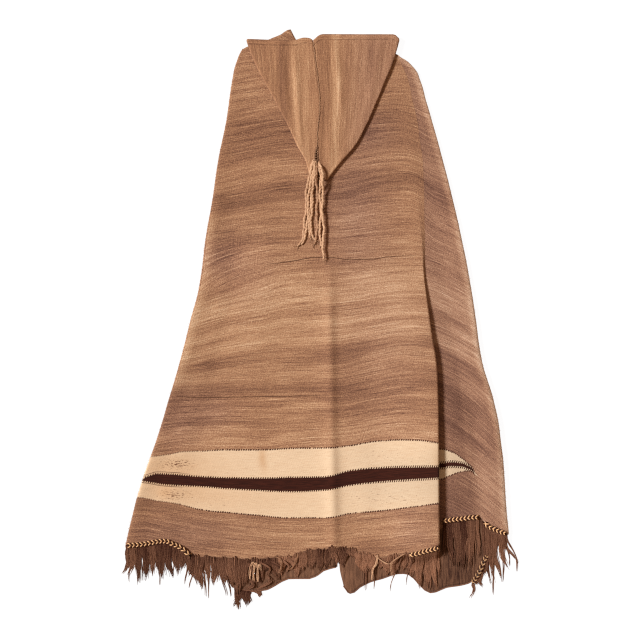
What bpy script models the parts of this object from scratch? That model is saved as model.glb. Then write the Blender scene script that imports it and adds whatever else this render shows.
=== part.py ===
"""Burnous: a hooded wool cloak, woven in one piece, laid out flat with its back up.

The cloak lies on its two fronts, and the back lies on them. The hood lies down the
back with its tassel. +Y points to the neck, +Z up, and the surface it lies on is z = 0.
Tables are in millimetres. In them, x runs to the right across the back, and down runs
from the neck line towards the hem.
"""

import math
import random

import bmesh
import bpy
from mathutils import Vector

MM = 0.001
NECK_Y = 700.6            # the neck line, above the middle of the whole outline
CLOTH = 2.5               # thickness of the woollen cloth
HALF = CLOTH / 2
GAP = 0.3                 # clearance between touching pieces
LAYER = 4.0               # from the middle of one layer to the middle of the next
FRONT_MID = HALF          # the fronts lie flat on the surface
BACK_MID = 6.4            # the back, where nothing lifts it
SIDE_MID = 5.6            # the side portion, beyond the pleat
ROLL_REACH = 48           # how far in from a side fold the cloth stays raised
LIP_REACH = 135           # how far in from the pleat's lip the back starts to rise
ROWS = 24

# The two side folds: their outline, and the height of the upper layer on them.
LEFT_FOLD = (
    ("down", "x", "height"),
    (13, -198, 6.4),
    (38, -210, 7.0),
    (89, -223, 7.8),
    (191, -238, 8.6),
    (293, -259, 9.2),
    (395, -274, 9.6),
    (497, -292, 9.8),
    (599, -305, 9.8),
    (701, -330, 9.6),
    (803, -356, 9.6),
    (905, -386, 9.8),
    (1007, -417, 10.0),
    (1109, -453, 10.0),
    (1211, -481, 9.4),
    (1275, -496, 8.6),
)
RIGHT_FOLD = (
    ("down", "x", "height"),
    (28, 195, 6.4),
    (54, 233, 7.0),
    (89, 254, 7.6),
    (140, 269, 8.2),
    (191, 284, 8.8),
    (293, 312, 9.6),
    (395, 338, 10.4),
    (497, 361, 11.2),
    (599, 381, 12.2),
    (701, 397, 13.2),
    (803, 412, 14.6),
    (905, 442, 16.0),
    (1007, 460, 16.4),
    (1109, 470, 15.6),
    (1160, 473, 14.6),
    (1244, 481, 12.4),
)

# The deep pleat on the right. lip is the edge of the back panel, step its height above
# the side portion, and run the way from lip to side portion: negative is overlap.
PLEAT = (
    ("down", "lip", "run", "step", "radius"),
    (13, 150, 26, 0.4, 2.2),
    (54, 188, 24, 0.8, 2.2),
    (140, 214, 24, 1.6, 2.2),
    (250, 236, 22, 2.8, 2.2),
    (345, 249, 14, 4.6, 2.2),
    (403, 253, 8, 6.6, 2.2),
    (460, 257, 2, 9.0, 2.2),
    (520, 262, -8, 9.8, 2.3),
    (637, 274, -22, 11.0, 2.5),
    (727, 287, -30, 13.0, 2.9),
    (890, 302, -40, 16.0, 3.4),
    (1000, 303, -45, 18.0, 3.8),
    (1109, 303, -50, 20.0, 4.2),
    (1274, 304, -56, 22.0, 4.4),
)

# Top edges and hems: how far down each edge lies across the cloth.
BACK_TOP = (("x", "down"), (-198, 13), (-180, 4), (-100, 0), (100, 0), (150, 6), (195, 28))
LEFT_FRONT_TOP = (
    ("x", "down"),
    (-198, 13),
    (-160, 1),
    (-131, -14),
    (-100, -27),
    (-74, -40),
    (-62, -12),
    (-30, 0),
    (45, 0),
)
RIGHT_FRONT_TOP = (("x", "down"), (47, 0), (100, 0), (150, 6), (195, 28))
BACK_HEM = (
    ("x", "down"),
    (-496, 1275),
    (-489, 1272),
    (-460, 1270),
    (-422, 1264),
    (-396, 1261),
    (-374, 1269),
    (-347, 1282),
    (-328, 1298),
    (-292, 1305),
    (-235, 1306),
    (-179, 1312),
    (-141, 1310),
    (-104, 1304),
    (-67, 1302),
    (-29, 1289),
    (8, 1285),
    (52, 1282),
    (100, 1295),
    (156, 1306),
    (193, 1299),
    (227, 1295),
    (264, 1285),
    (305, 1274),
)
SIDE_HEM = (
    ("x", "down"),
    (238, 1232),
    (312, 1211),
    (358, 1205),
    (404, 1201),
    (419, 1216),
    (447, 1232),
    (481, 1244),
)
LEFT_FRONT_HEM = (
    ("x", "down"),
    (-499, 1283),
    (-407, 1303),
    (-305, 1318),
    (-259, 1329),
    (-215, 1385),
    (-147, 1390),
    (-75, 1359),
    (-22, 1359),
    (4, 1341),
    (45, 1329),
)
RIGHT_FRONT_HEM = (
    ("x", "down"),
    (60, 1390),
    (93, 1385),
    (159, 1359),
    (218, 1346),
    (282, 1395),
    (320, 1382),
    (384, 1369),
    (422, 1303),
    (473, 1250),
    (481, 1244),
)
LEFT_FRONT_EDGE = (("down", "x"), (0, 44.5), (1329, 44.5))
RIGHT_FRONT_EDGE = (("down", "x"), (0, 47), (1250, 47), (1328, 49), (1390, 60))

# Soft folds in the back and the side portion, each a ridge or, below zero, a trough.
FOLDS = (
    ("x", "down", "end_x", "end_down", "height", "width"),
    (-214, 330, -232, 720, -1.3, 22),
    (-228, 640, -300, 1010, -1.2, 24),
    (24, 480, 36, 1330, 3.2, 15),
    (-120, 430, -190, 980, 1.5, 38),
    (130, 420, 176, 1010, 1.4, 40),
    (-330, 860, -400, 1290, 1.6, 30),
    (60, 1010, 96, 1330, -1.2, 26),
    (318, 850, 334, 1240, 3.4, 20),
    (392, 800, 406, 1250, -0.8, 18),
)

# The hood: its two side folds, its seam, and the gap between its halves on the seam.
HOOD = (
    ("down", "left", "right", "seam", "gap"),
    (-13, -187, 202, -18, 0.3),
    (32, -172, 190, -13, 0.3),
    (93, -142, 166, -5, 0.3),
    (158, -107, 139, -1, 0.3),
    (219, -76, 111, -6, 0.3),
    (262, -56, 82, -8, 0.6),
    (274, -49, 71, -9, 3.0),
    (312, -32, 41, -8, 9.0),
    (345, -26, 19, -5, 14.0),
)
HOOD_BRIM_LEFT = (("x", "down"), (-187, -13), (-60, -11), (-18, -12))
HOOD_BRIM_RIGHT = (("x", "down"), (-18, -22), (5, -25), (185, -25), (202, -13))
HOOD_NECK = -6            # the hood's lower layer starts here, on the neck seam
HOOD_LOFT = (("x", "under", "over"), (-190, 0, 2.5), (0, 0.5, 3.5), (120, 3, 6), (205, 5, 8))
HOOD_ROWS = 15
SEAM_RIDGE = 2.2
SEAM_WIDTH = 14

# Cords twined along parts of the hem, over the roots of the fringe.
CORD_WIDTH = 12
CORD_HEIGHT = 5.6
CHEVRON = 10              # pitch of the cord's chevrons
CORD_SIDES = 8

TRIM_GAP = 0.8            # clearance along the bent line of a hem
HEM_STEP = 9
STRIP = 5                 # width of the strip that carries a fringe's strands
STRAND = 7.0              # width of a strand at its root
STRAND_GAP = 2.6
# How far down the tips of each fringe reach, and how far they lean to the right.
FRINGE_BACK_LEFT = (
    ("x", "down", "lean"),
    (-489, 1352, -18),
    (-455, 1372, -7),
    (-420, 1352, 2),
    (-385, 1384, 4),
    (-350, 1352, 3),
    (-328, 1366, 4),
)
FRINGE_BACK_CENTRE = (
    ("x", "down", "lean"),
    (-320, 1362, 6),
    (-292, 1402, 4),
    (-262, 1372, 3),
    (-235, 1362, 1),
    (-170, 1368, -2),
    (-110, 1360, 3),
    (-30, 1346, 2),
    (40, 1343, -2),
    (100, 1352, 2),
    (160, 1364, 3),
    (226, 1358, 4),
)
# The stretches that the middle fringe is made in, from x to x.
FRINGE_BACK_PARTS = ((-322, -258), (-254, -108), (-104, 42), (46, 226))
FRINGE_BACK_RIGHT = (
    ("x", "down", "lean"),
    (230, 1372, 3),
    (262, 1396, 5),
    (300, 1376, 8),
)
FRINGE_SIDE_LEFT = (
    ("x", "down", "lean"),
    (316, 1302, 2),
    (360, 1296, 2),
    (402, 1306, 4),
)
FRINGE_SIDE_RIGHT = (
    ("x", "down", "lean"),
    (420, 1352, 16),
    (446, 1362, 28),
    (470, 1346, 50),
)
FRINGE_FRONT_LEFT = (
    ("x", "down", "lean"),
    (-209, 1428, -10),
    (-190, 1448, -6),
    (-168, 1412, 0),
    (-150, 1402, 2),
)
FRINGE_FRONT_RIGHT = (
    ("x", "down", "lean"),
    (388, 1404, 6),
    (404, 1388, 6),
    (422, 1362, 4),
)

# The tassel: strands of plied yarn from a bound head, over the hood's tip.
TASSEL_YARN = 4.6
TASSEL_HEAD_X = -8
TASSEL_HEAD_DOWN = 287
TASSEL_HEAD_LENGTH = 15
TASSEL_HEAD_WIDTH = 19
TASSEL_END = 553          # how far down the longest strand reaches
# Where each strand would come at that depth, and where it ends.
TASSEL_STRANDS = (
    ("strand", "x", "down"),
    (0, -54, 497),
    (1, -46, 512),
    (2, -39, 508),
    (3, -32, 486),
    (4, -24, 524),
    (5, -17, 535),
    (6, -9, 547),
    (7, -2, 541),
    (8, 6, 553),
)

MATERIALS = {
    # name: (colour, roughness)
    "wool_tan": ((0.40, 0.24, 0.135), 0.92),
    "wool_hood": ((0.45, 0.25, 0.12), 0.92),
    "wool_fringe": ((0.075, 0.04, 0.025), 0.95),
    "wool_cord": ((0.12, 0.05, 0.03), 0.9),
    "wool_tassel": ((0.55, 0.33, 0.2), 0.9),
}


def mix(a, b, share):
    return a + (b - a) * share


def ease(share):
    """0 to 1, level at both ends."""
    share = min(max(share, 0.0), 1.0)
    return share * share * (3 - 2 * share)


def slope(rows, place, i):
    """How steep a table's curve is at row i: level at a peak."""
    last = len(rows) - 1
    steps = [
        (rows[k + 1][place] - rows[k][place]) / (rows[k + 1][0] - rows[k][0])
        for k in (max(i - 1, 0), min(i, last - 1))
    ]
    if steps[0] * steps[1] <= 0:
        return 0.0
    return 2 * steps[0] * steps[1] / (steps[0] + steps[1])


def read(table, column, at):
    """The named column of a table, on a smooth curve through its rows."""
    place = table[0].index(column)
    rows = table[1:]
    if at <= rows[0][0]:
        return rows[0][place]
    if at >= rows[-1][0]:
        return rows[-1][place]
    i = next(k for k, row in enumerate(rows) if row[0] > at) - 1
    span = rows[i + 1][0] - rows[i][0]
    t = (at - rows[i][0]) / span
    start = rows[i][place] + slope(rows, place, i) * span * t
    end = rows[i + 1][place] - slope(rows, place, i + 1) * span * (1 - t)
    return mix(start, end, ease(t))


def placed(x, down, z):
    """A point of the tables, in the object's frame."""
    return Vector((x, NECK_Y - down, z)) * MM


# ---------------------------------------------------------------- heights of the cloth

def fold_heights(x, down):
    """What the soft folds add to the cloth's height."""
    total = 0.0
    for x0, down0, x1, down1, height, width in FOLDS[1:]:
        run_x = x1 - x0
        run_down = down1 - down0
        length = math.hypot(run_x, run_down)
        along = ((x - x0) * run_x + (down - down0) * run_down) / length ** 2
        aside = ((x - x0) * run_down - (down - down0) * run_x) / length
        fade = ease(along * 4) * ease((1.12 - along) * 4)
        total += height * fade * math.exp(-((aside / width) ** 2))
    return total


def side_height(x, down):
    """Middle of the side portion's cloth: low beside the pleat, high at the right fold."""
    fold_x = read(RIGHT_FOLD, "x", down)
    rise = read(RIGHT_FOLD, "height", down) - SIDE_MID
    inside = (fold_x - HALF - rise / 2 - x) / (ROLL_REACH * 1.4)
    raised = SIDE_MID + rise * (1 - ease(inside))
    hump = fold_heights(x, down) * ease((x - read(PLEAT, "lip", down)) / 12)
    return raised + hump


def pleat_start(down):
    """Where the back panel ends and turns down at the lip."""
    return read(PLEAT, "lip", down) - HALF - read(PLEAT, "radius", down)


def back_height(x, down):
    """Middle of the back's cloth."""
    rise = read(LEFT_FOLD, "height", down) - BACK_MID
    inside = (x - read(LEFT_FOLD, "x", down) - HALF - rise / 2) / ROLL_REACH
    start = pleat_start(down)
    side = side_height(start + read(PLEAT, "run", down), down)
    lip_rise = side + read(PLEAT, "step", down) - BACK_MID
    near_lip = 1 - (start - x) / LIP_REACH
    folds = fold_heights(x, down) * ease((start - x) / 40)
    return BACK_MID + rise * (1 - ease(inside)) + lip_rise * ease(near_lip) + folds


def hood_under(x, down):
    """Middle of the hood's lower layer, on the back."""
    return back_height(x, down) + LAYER + read(HOOD_LOFT, "under", x)


def hood_over(x, down):
    """Middle of the hood's upper layer, with the ridge of its seam."""
    from_seam = (x - read(HOOD, "seam", down)) / SEAM_WIDTH
    ridge = SEAM_RIDGE * math.exp(-from_seam ** 2)
    return hood_under(x, down) + LAYER + read(HOOD_LOFT, "over", x) + ridge


# ---------------------------------------------------------------- making the sheets

def finish(name, bm, material, thickness=None, even=True):
    """Makes a bmesh an object of the cloak; a thickness makes an open sheet a wall."""
    bmesh.ops.recalc_face_normals(bm, faces=bm.faces)
    mesh = bpy.data.meshes.new(name)
    bm.to_mesh(mesh)
    bm.free()
    mesh.materials.append(bpy.data.materials[material])
    thing = bpy.data.objects.new(name, mesh)
    bpy.data.collections["burnous"].objects.link(thing)
    if thickness:
        wall = thing.modifiers.new("wall", "SOLIDIFY")
        wall.thickness = thickness * MM
        wall.offset = 0
        wall.use_even_offset = even
    return thing


def grid_sheet(rows):
    """A grid whose rows run through the given lists of points."""
    across = len(rows[0]) - 1
    along = len(rows) - 1
    bm = bmesh.new()
    bmesh.ops.create_grid(bm, x_segments=across, y_segments=along, size=1)
    for vertex in bm.verts:
        column = round((vertex.co.x + 1) / 2 * across)
        row = round((vertex.co.y + 1) / 2 * along)
        vertex.co = rows[row][column]
    return bm


def zone(shares, edges, top, hem, height, v):
    """Points across one zone of the body, at share v of the way from its top to its hem."""
    near, far = edges
    points = []
    for share in shares:
        at_top = mix(near(0), far(0), share)
        at_hem = mix(near(1), far(1), share)
        x = mix(near(v), far(v), share)
        down = mix(read(top, "down", at_top), read(hem, "down", at_hem), v)
        points.append((x, down, height(x, down)))
    return points


def half_turn(start, end, side, steps):
    """Points on a half circle from one layer's end to the next; side is -1 left, 1 right."""
    points = []
    radius = abs(end[2] - start[2]) / 2
    for i in range(1, steps):
        angle = math.pi * i / steps
        share = (1 - math.cos(angle)) / 2
        x = mix(start[0], end[0], share) + side * radius * math.sin(angle)
        points.append((x, mix(start[1], end[1], share), mix(start[2], end[2], share)))
    return points


def pleat_points(start, end, radius, steps):
    """Points down the pleat: a turn at the lip, a straight, and a turn the other way."""
    run = end[0] - start[0]
    drop = start[2] - end[2]
    between = math.hypot(run, drop - 2 * radius)
    heading = math.atan2(drop - 2 * radius, run)
    turn = heading + math.asin(min(2 * radius / between, 1))
    straight = math.sqrt(max(between ** 2 - 4 * radius ** 2, 0))
    arc = radius * turn
    whole = 2 * arc + straight
    folded = ease(turn / math.pi * 1.2 - 0.2)
    points = []
    for i in range(1, steps):
        share = i / steps
        # Turns take most of the columns where the cloth doubles back.
        if share < 0.42:
            by_piece = share / 0.42 * arc
        elif share < 0.62:
            by_piece = arc + (share - 0.42) / 0.2 * straight
        else:
            by_piece = arc + straight + (share - 0.62) / 0.38 * arc
        way = mix(share * whole, by_piece, folded)
        if way < arc:
            angle = way / radius
            x = radius * math.sin(angle)
            z = -radius * (1 - math.cos(angle))
        elif way < arc + straight:
            x = radius * math.sin(turn) + (way - arc) * math.cos(turn)
            z = -radius * (1 - math.cos(turn)) - (way - arc) * math.sin(turn)
        else:
            angle = (whole - way) / radius
            x = run - radius * math.sin(angle)
            z = -drop + radius * (1 - math.cos(angle))
        down = mix(start[1], end[1], share)
        points.append((start[0] + x, down, start[2] + z))
    return points


# ---------------------------------------------------------------- the body

BACK_SHARES = (
    0, 0.02, 0.045, 0.08, 0.12, 0.17, 0.24, 0.32, 0.40, 0.47, 0.52,
    0.56, 0.60, 0.64, 0.70, 0.76, 0.82, 0.88, 0.93, 0.97, 1,
)
SIDE_SHARES = (0, 0.12, 0.24, 0.36, 0.48, 0.6, 0.7, 0.8, 0.88, 0.95, 1)
FRONT_SHARES = [i / 12 for i in range(13)]
TURN_STEPS = 6
PLEAT_STEPS = 15


def along_fold(table, top, hem):
    """How far down a fold's line lies, for each share of its length."""
    return lambda v: mix(read(top, "down", table[1][1]), read(hem, "down", table[-1][1]), v)


def body_zones(v):
    """The body's zones at share v of the way down, from the left front's edge round."""
    left_down = along_fold(LEFT_FOLD, BACK_TOP, BACK_HEM)
    right_down = along_fold(RIGHT_FOLD, BACK_TOP, SIDE_HEM)

    def left_start(at):
        down = left_down(at)
        turn = (read(LEFT_FOLD, "height", down) - FRONT_MID) / 2
        return read(LEFT_FOLD, "x", down) + HALF + turn

    def right_start(at):
        down = right_down(at)
        turn = (read(RIGHT_FOLD, "height", down) - FRONT_MID) / 2
        return read(RIGHT_FOLD, "x", down) - HALF - turn

    def lip(at):
        return pleat_start(mix(20, 1274, at))

    def inner(at):
        down = mix(20, 1232, at)
        return pleat_start(down) + read(PLEAT, "run", down)

    def flat(x, down):
        return FRONT_MID

    left_edge = lambda at: read(LEFT_FRONT_EDGE, "x", mix(0, 1329, at))
    right_edge = lambda at: read(RIGHT_FRONT_EDGE, "x", mix(0, 1390, at))
    left_front = zone(FRONT_SHARES, (left_edge, left_start),
                      LEFT_FRONT_TOP, LEFT_FRONT_HEM, flat, v)
    back = zone(BACK_SHARES, (left_start, lip), BACK_TOP, BACK_HEM, back_height, v)
    side = zone(SIDE_SHARES, (inner, right_start), BACK_TOP, SIDE_HEM, side_height, v)
    right_front = zone(FRONT_SHARES, (right_start, right_edge),
                       RIGHT_FRONT_TOP, RIGHT_FRONT_HEM, flat, v)
    return left_front, back, side, right_front


def body_row(v):
    """One row of the body's cloth, from the left front's edge round to the right front's."""
    left_front, back, side, right_front = body_zones(v)
    radius = read(PLEAT, "radius", back[-1][1])
    points = (
        left_front
        + half_turn(left_front[-1], back[0], -1, TURN_STEPS)
        + back
        + pleat_points(back[-1], side[0], radius, PLEAT_STEPS)
        + side
        + half_turn(side[-1], right_front[0], 1, TURN_STEPS)
        + right_front
    )
    return [placed(*point) for point in points]


def make_body():
    rows = [body_row(i / ROWS) for i in range(ROWS + 1)]
    finish("cloak_body", grid_sheet(rows), "wool_tan", CLOTH)


# ---------------------------------------------------------------- the hood

def hood_row(v):
    """One row round the hood, from its seam round the right fold and under, and back."""
    brim, tip = HOOD[1][0], HOOD[-1][0]
    down = mix(brim, tip, v)
    near_brim = (1 - ease(v * 5)) ** 2
    left = read(HOOD, "left", down) + HALF
    right = read(HOOD, "right", down) - HALF
    seam = read(HOOD, "seam", down)
    gap = read(HOOD, "gap", down) / 2

    def over(x, brim_table):
        lifted = down + (read(brim_table, "down", x) - brim) * near_brim
        return (x, lifted, hood_over(x, down))

    def under(x):
        return (x, down + (HOOD_NECK - brim) * near_brim, hood_under(x, down))

    left_turn = (hood_over(left, down) - hood_under(left, down)) / 2
    right_turn = (hood_over(right, down) - hood_under(right, down)) / 2
    left += left_turn
    right -= right_turn
    shares = [i / 5 for i in range(6)]
    right_top = [over(mix(seam + gap, right, s), HOOD_BRIM_RIGHT) for s in shares]
    below = [under(mix(right, left, i / 8)) for i in range(9)]
    left_top = [over(mix(left, seam - gap, s), HOOD_BRIM_LEFT) for s in shares]
    points = (
        right_top
        + half_turn(right_top[-1], below[0], 1, 5)
        + below
        + half_turn(below[-1], left_top[0], -1, 5)
        + left_top
    )
    return [placed(*point) for point in points]


def make_hood():
    rows = [hood_row(i / HOOD_ROWS) for i in range(HOOD_ROWS + 1)]
    finish("hood", grid_sheet(rows), "wool_hood", CLOTH)


# ---------------------------------------------------------------- hems

def on_line(line, x):
    """The point (x, down, z) of a line of points at x; it runs straight on past its ends."""
    i = 0
    while i < len(line) - 2 and line[i + 1][0] < x:
        i += 1
    share = (x - line[i][0]) / (line[i + 1][0] - line[i][0])
    return Vector(line[i]).lerp(Vector(line[i + 1]), share)


def hem_frame(line, x):
    """A hem's point (x, down), its outward direction, and its height at x."""
    point = on_line(line, x)
    step = on_line(line, x + HEM_STEP) - on_line(line, x - HEM_STEP)
    return point.xy, Vector((-step.y, step.x)).normalized(), point.z


def front_below(fronts, x, down):
    """Top of the front that a fringe lies on, none past that front's hem."""
    line = fronts[0] if x < 46 else fronts[1]
    near = min(max(x, line[0][0]), line[-1][0])
    past = down - on_line(line, near).y
    return CLOTH * (1 - ease((past - 8) / 22)) * (1 - ease((abs(x - near) - 8) / 16))


def make_cord(name, line, start, end, below=CLOTH):
    """A half-round cord with raised chevrons, along a hem from x start to x end.

    below is the top of what it lies on.
    """
    sections = max(2, round(abs(end - start) * 1.05 / (CHEVRON / 2)))
    bm = bmesh.new()
    bmesh.ops.create_circle(bm, cap_ends=True, segments=CORD_SIDES, radius=1)
    face = bm.faces[:][0]
    for i in range(sections + 1):
        x = mix(start, end, i / sections)
        point, outward, z = hem_frame(line, x)
        middle = point + outward * (TRIM_GAP + CORD_WIDTH / 2)
        rise = max(z, below + CORD_HEIGHT / 2 + GAP)
        swell = 1.0 if i % 2 else 0.84
        along = Vector((outward.y, -outward.x))
        if i:
            made = bmesh.ops.extrude_face_region(bm, geom=[face])["geom"]
            if i > 1:
                bmesh.ops.delete(bm, geom=[face], context="FACES_ONLY")
            face = next(part for part in made if isinstance(part, bmesh.types.BMFace))
        for k, vertex in enumerate(face.verts[:]):
            angle = 2 * math.pi * k / CORD_SIDES
            across = math.cos(angle) * CORD_WIDTH / 2
            up = math.sin(angle) * CORD_HEIGHT / 2 * swell
            lead = along * (CHEVRON / 5 * math.sin(angle) ** 2)
            spot = middle + outward * across + lead
            vertex.co = placed(spot.x, spot.y, rise + up)
    finish(name, bm, "wool_cord")


def make_comb(name, material, thickness, strip, strands):
    """A strip with strands on it. strip holds (inner, outer) points, two for each strand.

    strands holds, for each strand, the pairs of points that its edges run through.
    """
    bm = grid_sheet([[pair[0] for pair in strip], [pair[1] for pair in strip]])
    bm.verts.ensure_lookup_table()
    outer = {tuple(round(c, 7) for c in v.co): v for v in bm.verts}
    for i, edges in enumerate(strands):
        ends = [outer[tuple(round(c, 7) for c in strip[2 * i + k][1])] for k in (0, 1)]
        for pair in edges:
            edge = bm.edges.get(ends)
            old = [end.co.copy() for end in ends]
            made = bmesh.ops.extrude_edge_only(bm, edges=[edge])["geom"]
            new = [part for part in made if isinstance(part, bmesh.types.BMVert)]
            ends = [min(new, key=lambda v, at=at: (v.co - at).length) for at in old]
            for end, spot in zip(ends, pair):
                end.co = spot
    finish(name, bm, material, thickness, even=False)


def make_fringe(name, line, tips, offset, below, splay=0.25, stretch=None):
    """A fringe along a hem: tips says where its strands end, offset clears a cord.

    below gives the top of what a strand lies on, splay how much strands follow the
    hem's outward direction, and stretch the (start, end) that the fringe runs between.
    """
    chance = random.Random(name)
    start, end = stretch or (tips[1][0], tips[-1][0])
    length = (hem_frame(line, end)[0] - hem_frame(line, start)[0]).length
    count = max(2, round(length / (STRAND + STRAND_GAP)))
    pitch = (end - start) / count
    wide = pitch * STRAND / (STRAND + STRAND_GAP)
    strip = []
    strands = []
    last = None
    for i in range(count):
        sides = []
        for x in (start + pitch * i, start + pitch * i + wide):
            point, outward, z = hem_frame(line, x)
            inner, root = (point + outward * out for out in (offset, offset + STRIP))
            z = max(z, below(*root) + 2 * GAP + HALF)
            strip.append((placed(*inner, z), placed(*root, z)))
            sides.append((*root, z))
        left, right = (Vector(side) for side in sides)
        root = (left + right) / 2
        half = (right - left).xy / 2
        x = start + pitch * i + wide / 2
        tip = Vector((root.x, read(tips, "down", x) + chance.uniform(-14, 8)))
        tip.x += splay * outward.x / outward.y * (tip.y - root.y)
        tip.x += read(tips, "lean", x) + chance.uniform(-3, 3)
        if last:
            tip.x += crowding(last, (root.xy, tip), 2 * half.length)
        last = (root.xy, tip)
        edges = []
        for share, width in ((0.3, 0.95), (0.65, 0.72), (1.0, 0.24)):
            spot = mix(root.xy, tip, share)
            rest = below(*spot) + 2 * GAP + HALF
            z = max(mix(root.z, rest, ease(share * 1.3)), rest)
            edges.append([placed(*(spot + half * width * side), z) for side in (-1, 1)])
        strands.append(edges)
    make_comb(name, "wool_fringe", CLOTH, strip, strands)


def crowding(last, this, width):
    """How far right a strand's tip moves so that the strand clears the last one."""
    shortest = min(last[1].y, this[1].y)
    places = []
    for root, tip in (last, this):
        share = (shortest - root.y) / (tip.y - root.y)
        places.append((mix(root.x, tip.x, share), width * mix(1, 0.24, share)))
    room = places[1][0] - places[0][0] - (places[0][1] + places[1][1]) / 2
    return max(STRAND_GAP / 3 - room, 0) * 1.4


def make_hems():
    past_cord = CORD_WIDTH + 2 * TRIM_GAP
    left_front, back, side, right_front = body_zones(1)
    fronts = (sorted(left_front), sorted(right_front))

    def on_fronts(x, down):
        return front_below(fronts, x, down)

    def on_fringe(x, down):
        return CORD_HEIGHT + GAP

    def on_surface(x, down):
        return 0

    make_cord("hem_cord_back_left", back, -489, -329)
    make_cord("hem_cord_back_right", back, 227, 298)
    make_cord("hem_cord_side_left", side, 314, 402)
    make_cord("hem_cord_side_right", side, 420, 470)
    make_cord("hem_cord_front_right", fronts[1], 386, 424, 0)
    make_fringe("fringe_back_left", back, FRINGE_BACK_LEFT, past_cord, on_fronts)
    for number, stretch in enumerate(FRINGE_BACK_PARTS, 1):
        make_fringe(f"fringe_back_centre_{number}", back, FRINGE_BACK_CENTRE, TRIM_GAP,
                    on_fronts, stretch=stretch)
    make_fringe("fringe_back_right", back, FRINGE_BACK_RIGHT, past_cord, on_fronts)
    make_fringe("fringe_side_left", side, FRINGE_SIDE_LEFT, past_cord, on_fronts)
    make_fringe("fringe_side_right", side, FRINGE_SIDE_RIGHT, past_cord, on_fringe)
    make_fringe("fringe_front_left", fronts[0], FRINGE_FRONT_LEFT, TRIM_GAP, on_surface)
    make_fringe("fringe_front_right", fronts[1], FRINGE_FRONT_RIGHT, past_cord, on_surface, 0.6)


# ---------------------------------------------------------------- the tassel

def tassel_height(x, down):
    """Middle of a strand: on the hood, then past its tip down to the back."""
    tip = HOOD[-1][0]
    clear = HALF + GAP + TASSEL_YARN / 2
    on_hood = hood_over(x, min(down, tip)) + clear + 1.2
    on_back = back_height(x, down) + clear + 0.3
    return mix(on_hood, on_back, ease((down - tip - 4) / 34))


def make_tassel():
    count = len(TASSEL_STRANDS) - 1
    pitch = TASSEL_HEAD_WIDTH / (count - 0.3)
    strip = []
    strands = []
    downs = (312, 334, 352, 366, 384, 408, 446)
    for i, (_, tip_x, tip_down) in enumerate(TASSEL_STRANDS[1:]):
        left = TASSEL_HEAD_X - TASSEL_HEAD_WIDTH / 2 + pitch * i
        for x in (left, left + pitch * 0.7):
            ends = (TASSEL_HEAD_DOWN, TASSEL_HEAD_DOWN + TASSEL_HEAD_LENGTH)
            high = [tassel_height(x, down) for down in ends]
            strip.append(tuple(placed(x, down, z) for down, z in zip(ends, high)))
        root_x = left + pitch * 0.35
        root_down = TASSEL_HEAD_DOWN + TASSEL_HEAD_LENGTH
        edges = []
        for down in downs + (tip_down,):
            share = (down - root_down) / (TASSEL_END - root_down)
            x = mix(root_x, tip_x, share ** 0.8)
            width = min(TASSEL_YARN, pitch * 0.7 + TASSEL_YARN * share * 0.75) / 2
            z = tassel_height(x, down)
            edges.append([placed(x - width, down, z), placed(x + width, down, z)])
        strands.append(edges)
    make_comb("hood_tassel", "wool_tassel", TASSEL_YARN, strip, strands)


# ---------------------------------------------------------------- everything

def make_materials():
    for name, (colour, roughness) in MATERIALS.items():
        material = bpy.data.materials.new(name)
        material.use_nodes = True
        surface = material.node_tree.nodes["Principled BSDF"]
        surface.inputs["Base Color"].default_value = (*colour, 1)
        surface.inputs["Roughness"].default_value = roughness


def main():
    for thing in list(bpy.data.objects):
        bpy.data.objects.remove(thing)
    cloak = bpy.data.collections.new("burnous")
    bpy.context.scene.collection.children.link(cloak)
    make_materials()
    make_body()
    make_hood()
    make_hems()
    make_tassel()


main()
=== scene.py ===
# %% [markdown]
# A burnous is a hooded wool cloak, woven in one wide piece with the hood sewn on at the
# neck. Here it lies flat on its two fronts with its back up, its left and right sides
# folded under, one deep pleat on the right, and the hood turned down the back with its
# tassel. A cloak could be draped by a cloth simulation, but a cloak laid out by hand
# has a fold here and a pleat there for no reason that a simulation knows. So each sheet
# is a grid, shaped by the same short tables of measures as the solid part.

# %% The frame
import math
import random

import bpy
import numpy as np
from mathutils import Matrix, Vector, noise


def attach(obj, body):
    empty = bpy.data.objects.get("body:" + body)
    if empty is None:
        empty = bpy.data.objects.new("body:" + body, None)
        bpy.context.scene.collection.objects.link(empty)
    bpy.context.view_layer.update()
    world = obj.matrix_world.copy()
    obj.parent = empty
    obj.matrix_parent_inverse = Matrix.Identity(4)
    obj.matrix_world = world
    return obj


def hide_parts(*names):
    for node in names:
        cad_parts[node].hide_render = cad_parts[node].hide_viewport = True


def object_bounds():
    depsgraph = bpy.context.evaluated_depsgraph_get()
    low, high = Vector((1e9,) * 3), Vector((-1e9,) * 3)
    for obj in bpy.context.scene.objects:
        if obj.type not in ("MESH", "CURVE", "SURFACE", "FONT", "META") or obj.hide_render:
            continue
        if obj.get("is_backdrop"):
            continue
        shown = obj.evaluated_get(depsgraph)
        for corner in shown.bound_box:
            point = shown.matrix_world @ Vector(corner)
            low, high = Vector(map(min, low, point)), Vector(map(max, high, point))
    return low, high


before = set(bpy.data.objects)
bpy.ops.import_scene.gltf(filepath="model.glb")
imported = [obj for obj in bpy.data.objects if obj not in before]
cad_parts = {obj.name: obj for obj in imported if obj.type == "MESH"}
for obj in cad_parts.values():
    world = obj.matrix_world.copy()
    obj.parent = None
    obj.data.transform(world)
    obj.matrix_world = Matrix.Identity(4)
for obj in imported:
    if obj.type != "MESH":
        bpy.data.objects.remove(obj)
cad_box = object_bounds()
MM = 0.001
NECK_Y = 700.6  # the neck line, in millimetres above the middle of the cloak
print("frame: ", len(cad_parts), "nodes,", [round(s, 3) for s in cad_box[1] - cad_box[0]])

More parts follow.
